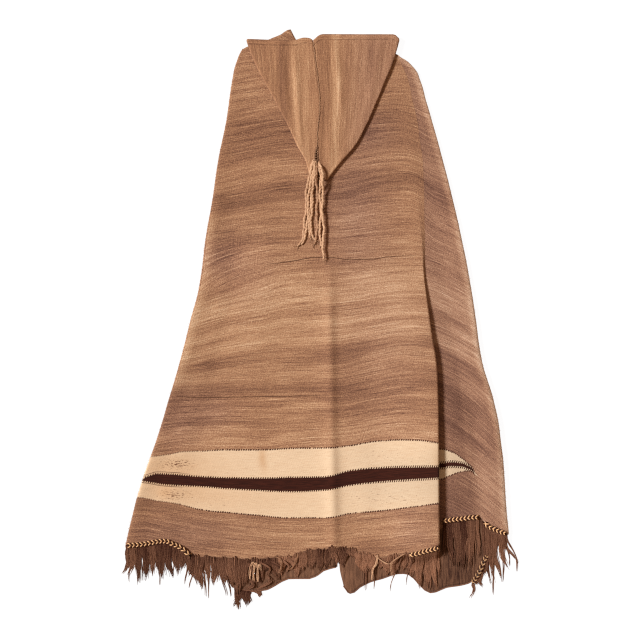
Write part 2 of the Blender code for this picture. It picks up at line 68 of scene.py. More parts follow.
# %% [markdown]
# The cloak is seen straight from above, as a museum lays a garment out to record it. A
# long lens keeps its sides parallel. One broad light comes low from the left, because
# light along a cloth shows its folds and its weave, and a pale surround fills the
# shadows a little. The table is lit from within, so that it stays pale beside the wool.
# The view transform is Standard, so the wool's colours are shown as they are.

# %% Camera and light
CAMERA_HEIGHT = 3.853
LENS = 85
LIGHT_FROM = (-1.0, 0.25, 0.88)
LIGHT_WIDTH = math.radians(14)
LIGHT_STRENGTH = 3.86
LIGHT_COLOUR = (0.97, 1.0, 1.03)
SURROUND = 0.29
SURROUND_COLOUR = (1.0, 0.69, 0.47)
TABLE_HALF_WIDTH = 60  # so wide that low views don't see past it
TABLE_GREY = (0.07, 0.07, 0.07, 1)
TABLE_GLOW = 0.95
SHARPNESS = 1.2  # width of the pixel filter: narrow, so that single yarns stay crisp


def add_camera():
    data = bpy.data.cameras.new("from above")
    data.lens = LENS
    data.sensor_width = 36
    camera = bpy.data.objects.new("camera", data)
    camera.location.z = CAMERA_HEIGHT
    bpy.context.scene.collection.objects.link(camera)
    bpy.context.scene.camera = camera


def add_light():
    data = bpy.data.lights.new("window", "SUN")
    data.angle = LIGHT_WIDTH
    data.energy = LIGHT_STRENGTH
    data.color = LIGHT_COLOUR
    lamp = bpy.data.objects.new("window", data)
    lamp.location = LIGHT_FROM
    lamp.rotation_euler = (-Vector(LIGHT_FROM)).to_track_quat("-Z", "Y").to_euler()
    bpy.context.scene.collection.objects.link(lamp)


def add_table(half_width):
    bpy.ops.object.select_all(action="DESELECT")
    bpy.ops.mesh.primitive_plane_add(size=2 * half_width, location=(0, 0, -0.0005))
    table = bpy.context.active_object
    table.name = "light_table"
    glass = bpy.data.materials.new("light table")
    glass.use_nodes = True
    surface = glass.node_tree.nodes["Principled BSDF"]
    surface.inputs["Base Color"].default_value = TABLE_GREY
    surface.inputs["Roughness"].default_value = 0.9
    surface.inputs["Emission Color"].default_value = (1, 1, 1, 1)
    surface.inputs["Emission Strength"].default_value = TABLE_GLOW
    table.data.materials.append(glass)
    table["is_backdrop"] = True


def add_surround(strength, tint):
    world = bpy.data.worlds.new("pale surround")
    world.use_nodes = True
    world.node_tree.nodes["Background"].inputs["Color"].default_value = (*tint, 1)
    world.node_tree.nodes["Background"].inputs["Strength"].default_value = strength
    bpy.context.scene.world = world


add_camera()
add_light()
add_table(TABLE_HALF_WIDTH)
add_surround(SURROUND, SURROUND_COLOUR)
bpy.context.scene.cycles.filter_width = SHARPNESS
# A denoiser takes the grain of wool for noise, and wipes it off. This light is simple
# enough to need none.
bpy.context.scene.cycles.use_denoising = False
bpy.context.scene.view_settings.view_transform = "Standard"
print("camera: ", CAMERA_HEIGHT, "m above the cloak")

# %% [markdown]
# The cloak's measures are the solid part's, in millimetres: x runs to the right across
# the back, and down runs from the neck line to the hem. A table holds an outline or a
# height at a few given places, and read() runs a smooth curve through them.

# %% Measures of the cloth
CLOTH = 2.5  # thickness of the woollen cloth
HALF = CLOTH / 2
GAP = 0.3  # clearance between touching pieces
LAYER = 4.0  # from the middle of one layer to the middle of the next
FRONT_MID = HALF  # the fronts lie flat on the surface
BACK_MID = 6.4  # the back, where nothing lifts it
SIDE_MID = 5.6  # the side portion, beyond the pleat
ROLL_REACH = 48  # how far in from a side fold the cloth stays raised
LIP_REACH = 165  # how far in from the pleat's lip the back starts to rise
print("cloth:", CLOTH, "mm thick, layers", LAYER, "mm apart")

# %% The two side folds
# Their outline, and the height of the upper layer on them.
LEFT_FOLD = (
    ("down", "x", "height"),
    (13, -198, 6.4), (38, -210, 7.0), (89, -223, 7.8), (191, -238, 8.6),
    (293, -259, 9.2), (395, -274, 9.6), (497, -292, 9.8), (599, -305, 9.8),
    (701, -330, 9.6), (803, -356, 9.6), (905, -386, 9.8), (1007, -417, 10.0),
    (1109, -453, 10.0), (1211, -481, 9.4), (1275, -496, 8.6),
)
RIGHT_FOLD = (
    ("down", "x", "height"),
    (28, 195, 6.4), (54, 233, 7.0), (89, 254, 7.6), (140, 269, 8.2),
    (191, 284, 8.8), (293, 312, 9.6), (395, 338, 10.4), (497, 361, 11.2),
    (599, 381, 12.2), (701, 397, 13.2), (803, 412, 14.6), (905, 442, 16.0),
    (1007, 460, 16.4), (1109, 470, 15.6), (1160, 473, 14.6), (1244, 481, 12.4),
)
print("side folds:", RIGHT_FOLD[-1][1] - LEFT_FOLD[-1][1], "mm apart at the hem")

# %% The deep pleat on the right
# lip is the edge of the back panel, step its height above the side portion, and run the
# way from lip to side portion: negative is overlap.
PLEAT = (
    ("down", "lip", "run", "step", "radius"),
    (13, 150, 26, 0.4, 1.4), (54, 188, 24, 0.8, 1.4), (140, 214, 24, 1.2, 1.4),
    (250, 236, 22, 1.4, 1.4), (345, 249, 18, 1.6, 1.4), (403, 253, 15, 2.0, 1.4),
    (460, 257, 12, 2.8, 1.4), (520, 262, 8, 4.0, 1.4), (580, 264, 6, 6.4, 1.4),
    (637, 270, -6, 9.6, 2.0), (727, 282, -23, 14.2, 2.9), (890, 300, -38, 17.8, 3.4),
    (1000, 301.5, -43, 20.2, 3.8), (1109, 302, -49, 22.0, 4.2), (1274, 303.5, -55, 23.0, 4.4),
)
PLEAT_TOP = 20  # the zones on both sides of the pleat start here
LIP_HEM = 1274
INNER_HEM = 1232
print("the pleat's lip stands", PLEAT[-1][3], "mm up at the hem")

# %% Top edges and hems
# How far down each edge lies across the cloth.
BACK_TOP = (("x", "down"), (-198, 13), (-180, 4), (-100, 0), (100, 0), (150, 6), (195, 28))
LEFT_FRONT_TOP = (
    ("x", "down"),
    (-198, 13), (-160, 1), (-131, -14), (-100, -27), (-74, -40),
    (-62, -12), (-30, 0), (45, 0),
)
RIGHT_FRONT_TOP = (("x", "down"), (47, 0), (100, 0), (150, 6), (195, 28))
BACK_HEM = (
    ("x", "down"),
    (-496, 1275), (-489, 1272), (-460, 1270), (-422, 1264), (-396, 1261),
    (-374, 1269), (-347, 1282), (-328, 1298), (-292, 1305), (-235, 1306),
    (-179, 1312), (-141, 1310), (-104, 1304), (-67, 1302), (-29, 1289),
    (8, 1285), (52, 1282), (100, 1295), (156, 1306), (193, 1299),
    (227, 1295), (264, 1285), (305, 1274),
)
SIDE_HEM = (
    ("x", "down"),
    (238, 1232), (312, 1211), (358, 1205), (404, 1201), (419, 1216),
    (447, 1232), (481, 1244),
)
LEFT_FRONT_HEM = (
    ("x", "down"),
    (-499, 1283), (-407, 1303), (-305, 1318), (-259, 1329), (-215, 1385),
    (-147, 1390), (-75, 1359), (-22, 1359), (4, 1341), (45, 1329),
)
RIGHT_FRONT_HEM = (
    ("x", "down"),
    (60, 1378), (78, 1398), (98, 1383), (159, 1359), (218, 1346),
    (282, 1395), (320, 1382), (384, 1369), (422, 1303), (473, 1250),
    (481, 1244),
)
LEFT_FRONT_EDGE = (("down", "x"), (0, 44.5), (1329, 44.5))
RIGHT_FRONT_EDGE = (("down", "x"), (0, 47), (1250, 47), (1328, 49), (1390, 60))
print("the fronts reach", RIGHT_FRONT_EDGE[-1][0] - BACK_HEM[-1][1], "mm past the back")

# %% Soft folds
# In the back and the side portion, each a ridge or, below zero, a trough.
FOLDS = (
    ("x", "down", "end_x", "end_down", "height", "width"),
    (-214, 330, -232, 720, -1.3, 22),
    (-228, 640, -300, 1010, -1.2, 24),
    (24, 480, 36, 1330, 3.2, 15),
    (-120, 430, -190, 980, 1.5, 38),
    (130, 420, 176, 1010, 1.4, 40),
    (-330, 860, -400, 1290, 1.6, 30),
    (60, 1010, 96, 1330, -1.2, 26),
    (326, 850, 340, 1240, 1.6, 22),
    (392, 800, 406, 1250, -0.8, 18),
)

# %% Reading the tables
def mix(a, b, share):
    return a + (b - a) * share


def ease(share):
    """0 to 1, level at both ends."""
    share = min(max(share, 0.0), 1.0)
    return share * share * (3 - 2 * share)


def slope(rows, place, i):
    """How steep a table's curve is at row i: level at a peak."""
    last = len(rows) - 1
    steps = [
        (rows[k + 1][place] - rows[k][place]) / (rows[k + 1][0] - rows[k][0])
        for k in (max(i - 1, 0), min(i, last - 1))
    ]
    if steps[0] * steps[1] <= 0:
        return 0.0
    return 2 * steps[0] * steps[1] / (steps[0] + steps[1])


def read(table, column, at):
    """The named column of a table, on a smooth curve through its rows."""
    place = table[0].index(column)
    rows = table[1:]
    if at <= rows[0][0]:
        return rows[0][place]
    if at >= rows[-1][0]:
        return rows[-1][place]
    i = next(k for k, row in enumerate(rows) if row[0] > at) - 1
    span = rows[i + 1][0] - rows[i][0]
    t = (at - rows[i][0]) / span
    start = rows[i][place] + slope(rows, place, i) * span * t
    end = rows[i + 1][place] - slope(rows, place, i + 1) * span * (1 - t)
    return mix(start, end, ease(t))


def placed(x, down, z):
    """A point of the tables, in the frame."""
    return Vector((x, NECK_Y - down, z)) * MM


print("left fold halfway down:", round(read(LEFT_FOLD, "x", 650)), "mm")

# %% [markdown]
# Wool that has been worn and folded away never lies smooth. The solid part has the big
# folds. The cloth adds what a hand would leave: shallow ripples that run along the
# weft, small dents, and short puckers above the hem where the fringe pulls. They come
# from smooth noise, stretched along the weft, which gives the same cloth on each run.

# %% Heights of the cloth
RIPPLE = 0.9  # height of the broad ripples
DENT = 0.5  # height of the small dents
PUCKER = 1.3  # height of the puckers at the hem
CREASE = 3.2  # height of the pressed crease, over its soft fold
CREASE_X = (21, 37)  # its x at its top, and at the hem
CREASE_TOP = 540
CREASE_LENGTH = 780
CREASE_SLOPES = (32, 10)  # width of its long slope to the left and its short one
HEM_PULL = 55  # how far above the hem the puckers reach
EDGE_CALM = 20  # how near a fold or lip the unevenness dies away


def ripples(x, down):
    """The unevenness of worn cloth, in millimetres."""
    broad = noise.noise(Vector((x / 120, down / 46, 3.1)))
    small = noise.noise(Vector((x / 38, down / 17, 8.7)))
    return RIPPLE * broad + DENT * small


def puckers(x, from_hem):
    """Short waves down to the hem, strongest at it."""
    wave = noise.noise(Vector((x / 21, from_hem / 90, 5.2)))
    return PUCKER * wave * ease(1 - from_hem / HEM_PULL)


def centre_crease(x, down):
    """The pressed crease down the back: a long slope to its left, a short one right."""
    aside = x - mix(*CREASE_X, (down - CREASE_TOP) / CREASE_LENGTH)
    width = CREASE_SLOPES[0] if aside < 0 else CREASE_SLOPES[1]
    strength = ease((down - 520) / 260) * mix(1, 0.75, ease((down - 1080) / 200))
    return CREASE * strength * math.exp(-((aside / width) ** 2))


def fold_heights(x, down, folds=FOLDS):
    """What a table of soft folds adds to the cloth's height."""
    total = 0.0
    for x0, down0, x1, down1, height, width in folds[1:]:
        run_x = x1 - x0
        run_down = down1 - down0
        length = math.hypot(run_x, run_down)
        along = ((x - x0) * run_x + (down - down0) * run_down) / length ** 2
        aside = ((x - x0) * run_down - (down - down0) * run_x) / length
        fade = ease(along * 4) * ease((1.12 - along) * 4)
        total += height * fade * math.exp(-((aside / width) ** 2))
    return total


def side_height(x, down):
    """Middle of the side portion's cloth: low beside the pleat, high at the right fold."""
    fold_x = read(RIGHT_FOLD, "x", down)
    rise = read(RIGHT_FOLD, "height", down) - SIDE_MID
    inside = (fold_x - HALF - rise / 2 - x) / (ROLL_REACH * 1.4)
    raised = SIDE_MID + rise * (1 - ease(inside))
    hump = fold_heights(x, down) * ease((x - read(PLEAT, "lip", down)) / 12)
    return raised + hump


def pleat_start(down):
    """Where the back panel ends and turns down at the lip."""
    return read(PLEAT, "lip", down) - HALF - read(PLEAT, "radius", down)


def back_height(x, down):
    """Middle of the back's cloth."""
    rise = read(LEFT_FOLD, "height", down) - BACK_MID
    inside = (x - read(LEFT_FOLD, "x", down) - HALF - rise / 2) / ROLL_REACH
    start = pleat_start(down)
    side = side_height(start + read(PLEAT, "run", down), down)
    lip_rise = side + read(PLEAT, "step", down) - BACK_MID
    near_lip = 1 - (start - x) / LIP_REACH
    folds = fold_heights(x, down) * ease((start - x) / 40)
    return BACK_MID + rise * (1 - ease(inside)) + lip_rise * ease(near_lip) + folds


print("back beside the lip:", round(back_height(280, 1200), 1), "mm up")

# %% [markdown]
# One row of the cloth runs from the left front's edge, along the front, round the left
# fold, across the back, down the pleat, across the side portion, round the right fold
# and back along the right front. The folds are half circles, and the pleat is an S: a
# turn at its lip, a straight, and a turn the other way.

# %% One row of the cloak
FRONT_COLUMNS = 30
TURN_COLUMNS = 8
BACK_COLUMNS = 108
PLEAT_COLUMNS = 18
SIDE_COLUMNS = 32
CLOAK_ROWS = 192
# Shares of the pleat's columns on each of its turns and on the straight, where the cloth
# doubles back: the turns take most of them.
LIP_SHARE = 0.42
STRAIGHT_SHARE = 0.2
INNER_SHARE = 0.38


def even(count):
    return [i / count for i in range(count + 1)]


def zone(shares, edges, top, hem, height, v):
    """Points across one zone of the cloak, at share v of the way from its top to its hem."""
    near, far = edges
    points = []
    for share in shares:
        at_top = mix(near(0), far(0), share)
        at_hem = mix(near(1), far(1), share)
        x = mix(near(v), far(v), share)
        down = mix(read(top, "down", at_top), read(hem, "down", at_hem), v)
        points.append((x, down, height(x, down)))
    return points


def half_turn(start, end, side, steps):
    """Points on a half circle from one layer's end to the next; side is -1 left, 1 right."""
    points = []
    radius = abs(end[2] - start[2]) / 2
    for i in range(1, steps):
        angle = math.pi * i / steps
        share = (1 - math.cos(angle)) / 2
        x = mix(start[0], end[0], share) + side * radius * math.sin(angle)
        points.append((x, mix(start[1], end[1], share), mix(start[2], end[2], share)))
    return points


def pleat_points(start, end, radius, steps):
    """Points down the pleat: a turn at the lip, a straight, and a turn the other way."""
    run = end[0] - start[0]
    drop = start[2] - end[2]
    between = math.hypot(run, drop - 2 * radius)
    heading = math.atan2(drop - 2 * radius, run)
    turn = heading + math.asin(min(2 * radius / between, 1))
    straight = math.sqrt(max(between ** 2 - 4 * radius ** 2, 0))
    arc = radius * turn
    whole = 2 * arc + straight
    folded = ease(turn / math.pi * 1.2 - 0.2)
    points = []
    for i in range(1, steps):
        share = i / steps
        if share < LIP_SHARE:
            by_piece = share / LIP_SHARE * arc
        elif share < 1 - INNER_SHARE:
            by_piece = arc + (share - LIP_SHARE) / STRAIGHT_SHARE * straight
        else:
            by_piece = arc + straight + (share - 1 + INNER_SHARE) / INNER_SHARE * arc
        way = mix(share * whole, by_piece, folded)
        if way < arc:
            angle = way / radius
            x = radius * math.sin(angle)
            z = -radius * (1 - math.cos(angle))
        elif way < arc + straight:
            x = radius * math.sin(turn) + (way - arc) * math.cos(turn)
            z = -radius * (1 - math.cos(turn)) - (way - arc) * math.sin(turn)
        else:
            angle = (whole - way) / radius
            x = run - radius * math.sin(angle)
            z = -drop + radius * (1 - math.cos(angle))
        down = mix(start[1], end[1], share)
        points.append((start[0] + x, down, start[2] + z))
    return points


def along_fold(table, top, hem):
    """How far down a fold's line lies, for each share of its length."""
    return lambda v: mix(read(top, "down", table[1][1]), read(hem, "down", table[-1][1]), v)


def cloak_zones(v):
    """The cloak's zones at share v of the way down, from the left front's edge round."""
    left_down = along_fold(LEFT_FOLD, BACK_TOP, BACK_HEM)
    right_down = along_fold(RIGHT_FOLD, BACK_TOP, SIDE_HEM)

    def left_start(at):
        down = left_down(at)
        turn = (read(LEFT_FOLD, "height", down) - FRONT_MID) / 2
        return read(LEFT_FOLD, "x", down) + HALF + turn

    def right_start(at):
        down = right_down(at)
        turn = (read(RIGHT_FOLD, "height", down) - FRONT_MID) / 2
        return read(RIGHT_FOLD, "x", down) - HALF - turn

    def lip(at):
        return pleat_start(mix(PLEAT_TOP, LIP_HEM, at))

    def inner(at):
        down = mix(PLEAT_TOP, INNER_HEM, at)
        return pleat_start(down) + read(PLEAT, "run", down)

    def flat(x, down):
        return FRONT_MID

    def worn_back(x, down):
        from_edge = min(x - left_start(v), lip(v) - x)
        worn = ripples(x, down) + puckers(x, read(BACK_HEM, "down", x) - down)
        return back_height(x, down) + centre_crease(x, down) + worn * ease(from_edge / EDGE_CALM)

    def worn_side(x, down):
        from_edge = min(x - inner(v), right_start(v) - x)
        worn = ripples(x, down) + puckers(x, read(SIDE_HEM, "down", x) - down)
        return side_height(x, down) + worn * ease(from_edge / EDGE_CALM)

    def left_edge(at):
        return read(LEFT_FRONT_EDGE, "x", mix(0, LEFT_FRONT_EDGE[-1][0], at))

    def right_edge(at):
        return read(RIGHT_FRONT_EDGE, "x", mix(0, RIGHT_FRONT_EDGE[-1][0], at))

    fronts = even(FRONT_COLUMNS)
    left_front = zone(fronts, (left_edge, left_start), LEFT_FRONT_TOP, LEFT_FRONT_HEM, flat, v)
    back = zone(even(BACK_COLUMNS), (left_start, lip), BACK_TOP, BACK_HEM, worn_back, v)
    side = zone(even(SIDE_COLUMNS), (inner, right_start), BACK_TOP, SIDE_HEM, worn_side, v)
    right_front = zone(fronts, (right_start, right_edge),
                       RIGHT_FRONT_TOP, RIGHT_FRONT_HEM, flat, v)
    return left_front, back, side, right_front


def cloak_row(v):
    """One row of points (x, down, z), from the left front's edge to the right front's."""
    left_front, back, side, right_front = cloak_zones(v)
    radius = read(PLEAT, "radius", back[-1][1])
    left_turn = half_turn(left_front[-1], back[0], -1, TURN_COLUMNS)
    pleat = pleat_points(back[-1], side[0], radius, PLEAT_COLUMNS)
    right_turn = half_turn(side[-1], right_front[0], 1, TURN_COLUMNS)
    return left_front + left_turn + back + pleat + side + right_turn + right_front

# %% All rows of the cloak
# Columns where each zone of a row starts.
LEFT_TURN = FRONT_COLUMNS + 1
BACK_START = LEFT_TURN + TURN_COLUMNS - 1
PLEAT_START = BACK_START + BACK_COLUMNS + 1
SIDE_START = PLEAT_START + PLEAT_COLUMNS - 1
RIGHT_TURN = SIDE_START + SIDE_COLUMNS + 1
RIGHT_FRONT = RIGHT_TURN + TURN_COLUMNS - 1
cloak_rows = [cloak_row(i / CLOAK_ROWS) for i in range(CLOAK_ROWS + 1)]
print("cloak:", len(cloak_rows), "rows of", len(cloak_rows[0]), "points")

# %% [markdown]
# The weft is the yarn that runs across the cloth, and every stripe follows it. On the
# loom it is straight, and on a cloak that has been folded and pulled it wanders, so
# each point of the cloth is told which weft it lies on. That is how far down the point
# would be beside the centre crease. The table gives how much lower a weft lies at each x
# than at the crease. The wide woven bands have a table of their own edges.

# %% The run of the weft
WEFT = (
    ("x", 0, 370, 500, 625, 790, 890, 1030, 1190, 1310),
    (-440, 40, 70, 50, 140, 85, 8, 32, -38, -38),
    (-305, 30, 52, 30, 84, 40, 3, 17, -13, -13),
    (-228, 20, 38, 16, 52, 20, 0, 17, -3, -3),
    (-152, 10, 20, 5, 31, 10, 0, 17, 5, 5),
    (-75, 3, 7, 1, 10, 3, 0, 11, 10, 9),
    (30, 0, 0, 0, 0, 0, 0, 2, 6, 5),
    (100, -5, -11, -3, -7, -12, -9, -3, -2, -2),
    (154, -9, -21, -7, -15, -24, -18, -14, -8, -5),
    (231, -10, -25, -10, -20, -35, -26, -16, -18, -13),
    (302, -2, -12, -4, -12, -30, -26, -9, -23, -20),
)
SIDE_SLANT = 0.35  # how steeply the weft falls beyond the pleat, at the lip
SIDE_CURVE = 0.0045  # and how much steeper for each millimetre to the right
PLEAT_DROP = 24  # how far the weft falls inside the deep end of the pleat
DEEP_FROM = 420  # how far down the pleat starts to hide that fall
DEEP_OVER = 150
FRONT_SLANT = 0.49  # the fronts' weft rises from the side folds inwards
print("the weft falls", WEFT[1][1] - WEFT[-1][1], "mm from left to right at the neck")

# %% The edges of the bands
# How far down each edge lies: the upper cream band starts at "upper", the dark one runs
# from "dark" to "dark_end", and the lower cream one ends at "end".
EDGE_NAMES = ("upper", "dark", "dark_end", "end")
BANDS = (
    ("x", *EDGE_NAMES),
    (-452, 1050, 1105, 1109, 1152), (-432, 1048, 1097, 1112, 1157), (-412, 1046, 1093, 1116, 1161),
    (-381, 1042, 1094, 1119, 1165), (-343, 1035, 1097, 1121, 1173), (-305, 1034, 1100, 1123, 1183),
    (-228, 1031, 1103, 1129, 1191), (-152, 1031, 1104, 1133, 1198), (-75, 1027, 1102, 1136, 1204),
    (1, 1026, 1101, 1133, 1204), (78, 1020, 1085, 1120, 1193), (154, 1008, 1078, 1111, 1186),
    (231, 1005, 1075, 1104, 1175), (302, 1012, 1073, 1099, 1164),
)
# The same edges beyond the pleat, where they run together at a point.
SIDE_BANDS = (
    ("x", *EDGE_NAMES),
    (312, 1029, 1066, 1076, 1106), (335, 1036, 1063, 1072, 1095), (356, 1049, 1065, 1073, 1088),
    (376, 1066, 1072, 1079, 1085), (396, 1092, 1093, 1094, 1095), (397, 1098, 1098, 1098, 1098),
)
print("the bands end", SIDE_BANDS[-1][0] - PLEAT[-1][1], "mm beyond the pleat")

# %% [markdown]
# No fleece is even, and a cloak that was worn for years is faded and soiled in places.
# Each such place is a soft spot with a size and a strength, which is easier to steer
# than noise. Some of these spots are painted shade or painted light.

# %% Darker, lighter and greyer places
SPOTS = ("x", "down", "wide", "tall", "strength")
# Patches where the wool is darker or, above zero, lighter than its stripe; some are
# painted shadows, and two are painted light, as marked.
PATCHES = (
    SPOTS,
    (-292, 805, 40, 34, -0.14), (-234, 570, 42, 52, -0.1), (-232, 500, 34, 40, -0.08),
    (72, 800, 46, 40, -0.1), (66, 880, 44, 44, -0.08), (128, 232, 28, 28, -0.08),
    (-130, 690, 60, 20, 0.06), (-110, 790, 90, 18, 0.07), (-100, 892, 90, 20, 0.07),
    (245, 180, 34, 40, 0.11), (284, 255, 30, 46, 0.13), (230, 508, 30, 34, 0.1),
    (336, 535, 24, 30, 0.12), (204, 662, 44, 40, 0.08), (384, 740, 26, 30, 0.12),
    (270, 892, 60, 18, 0.08), (-232, 250, 26, 40, 0.09), (-180, 331, 26, 26, -0.07),
    (-282, 560, 24, 40, 0.08), (-336, 840, 30, 60, 0.1), (-455, 1240, 40, 30, -0.13),
    # Below, (20, 395) is a painted shadow beside the tassel.
    (20, 395, 9, 90, -0.08), (150, 404, 80, 34, -0.06), (98, 226, 40, 24, -0.07),
    # Below, (12, 440) is a painted shadow beside the tassel too.
    (26, 606, 44, 34, -0.1), (-222, 640, 48, 28, -0.08), (12, 440, 20, 50, -0.1),
    (-330, 905, 60, 26, -0.08), (-40, 1230, 130, 40, 0.08), (-385, 930, 44, 70, -0.1),
    (-340, 1246, 130, 34, -0.16), (-430, 1180, 60, 50, -0.06), (262, 1250, 44, 30, -0.1),
    # Below, (350, 1345) is a painted shadow on the right front, under the back's corner.
    (140, 1214, 90, 36, 0.08), (350, 1345, 56, 60, -0.24), (84, 1374, 40, 40, 0.04),
    # Below, (-8, 917) is painted light on the lit left slope of the centre crease.
    (-8, 917, 24, 50, 0.05), (-390, 1030, 50, 22, -0.12), (430, 1140, 40, 90, 0.06),
    (-70, 1348, 60, 34, 0.1), (306, 713, 30, 26, -0.1), (30, 560, 50, 24, -0.06),
    # Below, (-51, 948) is painted light on that slope too.
    (-98, -40, 40, 30, 0.12), (104, 762, 40, 24, -0.06), (-51, 948, 50, 36, 0.11),
    (51, 968, 26, 22, 0.09), (408, 968, 30, 30, 0.08), (-420, 1222, 60, 24, -0.07),
    (-281, 1280, 50, 20, -0.12), (128, 1276, 50, 20, -0.15),
)
# Places where the wool is greyer.
GREYS = (
    SPOTS,
    (90, 420, 80, 160, 0.8), (130, 226, 60, 44, 0.6), (-270, 935, 60, 40, 0.5),
    (165, 780, 130, 230, 0.4), (-265, 540, 60, 50, 0.5), (-190, 570, 100, 90, 0.4),
    (-370, 950, 70, 80, 0.6), (-340, 1246, 140, 44, 0.6), (240, 1244, 60, 40, 0.5),
    # Below, painted shade on the cream beside the pleat's lip.
    (225, 1112, 140, 74, 1.0),
)
SIDE_GREY = 0.8  # all of the wool beyond the pleat
# Beyond the pleat the wool is darker, with painted shade from the pleat up to this soft ridge.
RIDGE = (("down", "x"), (780, 352), (900, 366), (1050, 378), (1095, 391), (1205, 403))
SIDE_TONE = -0.1
FACET_PAINTED_SHADE = -0.12
FACET_FROM = 740
FOLD_PAINTED_LIGHT = 0.3  # painted light along the side folds, where the cloth rounds away into shade
TURN_PAINTED_LIGHT = 0.5  # and most on the right fold's turn, which lies in its own shade
LEFT_PAINTED_LIGHT_SPAN = (380, 860)  # on the left fold only from here to here
print("places:", len(PATCHES) + len(GREYS) - 2)

# %% Stains, painted shade and specks on the bands
# Places on the pale bands that are stained, one of painted shade, and places where
# brown fibre was spun in.
STAINS_AND_SHADE = (
    SPOTS,
    (-147, 1050, 9, 24, 0.8), (-140, 1072, 8, 14, 0.4), (-395, 1140, 22, 16, 0.3),
    (296, 1060, 10, 30, 0.35), (-385, 1072, 120, 44, 0.7), (-370, 1140, 120, 34, 0.5),
    # Below, (230, 1100) is painted shade on the cream beside the pleat's lip.
    (230, 1100, 110, 120, 0.12), (-200, 1160, 170, 36, 0.24),
)
SPECKS = (
    SPOTS,
    (-366, 1067, 48, 17, 0.9), (-372, 1146, 50, 18, 0.75), (-250, 1165, 60, 22, 0.25),
    (170, 1154, 120, 22, 0.36), (170, 1052, 110, 22, 0.3),
)
print("stains:", len(STAINS_AND_SHADE) - 1)

# %% Weft and tone at a point
def weft_shift(x, down):
    """How much lower the weft at a point of the back lies than at the crease."""
    heads = WEFT[0][1:]
    k = max(i for i, head in enumerate(heads[:-1]) if i == 0 or head <= down)
    share = min(max((down - heads[k]) / (heads[k + 1] - heads[k]), 0), 1)
    return mix(read(WEFT, heads[k], x), read(WEFT, heads[k + 1], x), share)


def side_shift(x, down):
    """The same beyond the pleat, from the lip to the right."""
    lip = read(PLEAT, "lip", down)
    past = max(x - lip, 0)
    curve = SIDE_CURVE * mix(0.2, 1, ease((down - 300) / 450))
    hidden = PLEAT_DROP * ease((down - DEEP_FROM) / DEEP_OVER)
    return weft_shift(lip, down) + hidden + SIDE_SLANT * past + curve / 2 * past ** 2


def arch(x, down):
    """The same above the deep part of the pleat, where the weft falls in plain sight."""
    strength = ease((down - 90) / 160) * (1 - ease((down - DEEP_FROM) / DEEP_OVER))
    return PLEAT_DROP * strength * ease((x - read(PLEAT, "lip", down) + 30) / 75)


def weft_of(column, x, down):
    """The weft that a point of a row lies on, and its distances from the bands' edges."""
    if column < BACK_START:
        fold_x = read(LEFT_FOLD, "x", down)
        weft = down - weft_shift(fold_x, down) - FRONT_SLANT * max(x - fold_x, 0)
        bands, at = BANDS, fold_x
    elif column < PLEAT_START:
        weft, bands, at = down - weft_shift(x, down) - arch(x, down), BANDS, x
    elif column < SIDE_START:
        across = (column - PLEAT_START) / (PLEAT_COLUMNS - 1)
        lip = read(PLEAT, "lip", down)
        weft = down - mix(weft_shift(lip, down), side_shift(lip, down), across) - arch(x, down)
        bands, at = BANDS, lip
    elif column < RIGHT_TURN:
        weft, bands, at = down - side_shift(x, down) - arch(x, down), SIDE_BANDS, x
    else:
        fold_x = read(RIGHT_FOLD, "x", down)
        weft = down - side_shift(fold_x, down) - arch(fold_x, down)
        weft += FRONT_SLANT * max(fold_x - x, 0)
        bands, at = SIDE_BANDS, fold_x
    return weft, [down - read(bands, edge, at) for edge in EDGE_NAMES]


def side_tone(x, down):
    """Darker wool beyond the pleat, with painted shade on the facet up to the soft ridge."""
    inside = ease((read(RIDGE, "x", down) - x) / 13)
    return SIDE_TONE + FACET_PAINTED_SHADE * inside * ease((down - FACET_FROM) / 160)


def fold_painted_light(column, x, down):
    """Painted light added to the tone along the side folds, most on the right fold's turn."""
    if column >= RIGHT_TURN:
        return TURN_PAINTED_LIGHT
    right = FOLD_PAINTED_LIGHT * ease((x - read(RIGHT_FOLD, "x", down) + 24) / 20)
    left = FOLD_PAINTED_LIGHT * ease((read(LEFT_FOLD, "x", down) + 30 - x) / 24)
    top, end = LEFT_PAINTED_LIGHT_SPAN
    return right + left * 0.6 * ease((down - top) / 80) * (1 - ease((down - end) / 60))


def patch_value(x, down, patches):
    """What a table of soft-edged patches adds up to at a point."""
    total = 0.0
    for middle_x, middle_down, wide, tall, value in patches[1:]:
        aside = ((x - middle_x) / wide) ** 2 + ((down - middle_down) / tall) ** 2
        total += value * math.exp(-aside)
    return total


dark_band = read(BANDS, "dark_end", 30) - read(BANDS, "dark", 30)
print("the dark band at the crease is", round(dark_band), "mm wide")

# %% [markdown]
# A grid is the natural mesh for a woven thing: its columns are warps and its rows are
# wefts. It is added as one flat primitive, and each of its vertices is then moved to
# its place. Solidify gives it the wool's thickness. The UV map says where each vertex
# would be on the loom, so that the stripes and the weave bend with the cloth, and the
# attribute called edges gives its distance from the edges of the bands.

# %% Making a woven sheet
def fresh_selection(thing=None):
    """Deselects everything, and makes thing, if there is one, the only piece selected."""
    bpy.ops.object.select_all(action="DESELECT")
    if thing:
        thing.select_set(True)
        bpy.context.view_layer.objects.active = thing


def apply_modifiers(thing):
    fresh_selection(thing)
    for modifier in list(thing.modifiers):
        bpy.ops.object.modifier_apply(modifier=modifier.name)


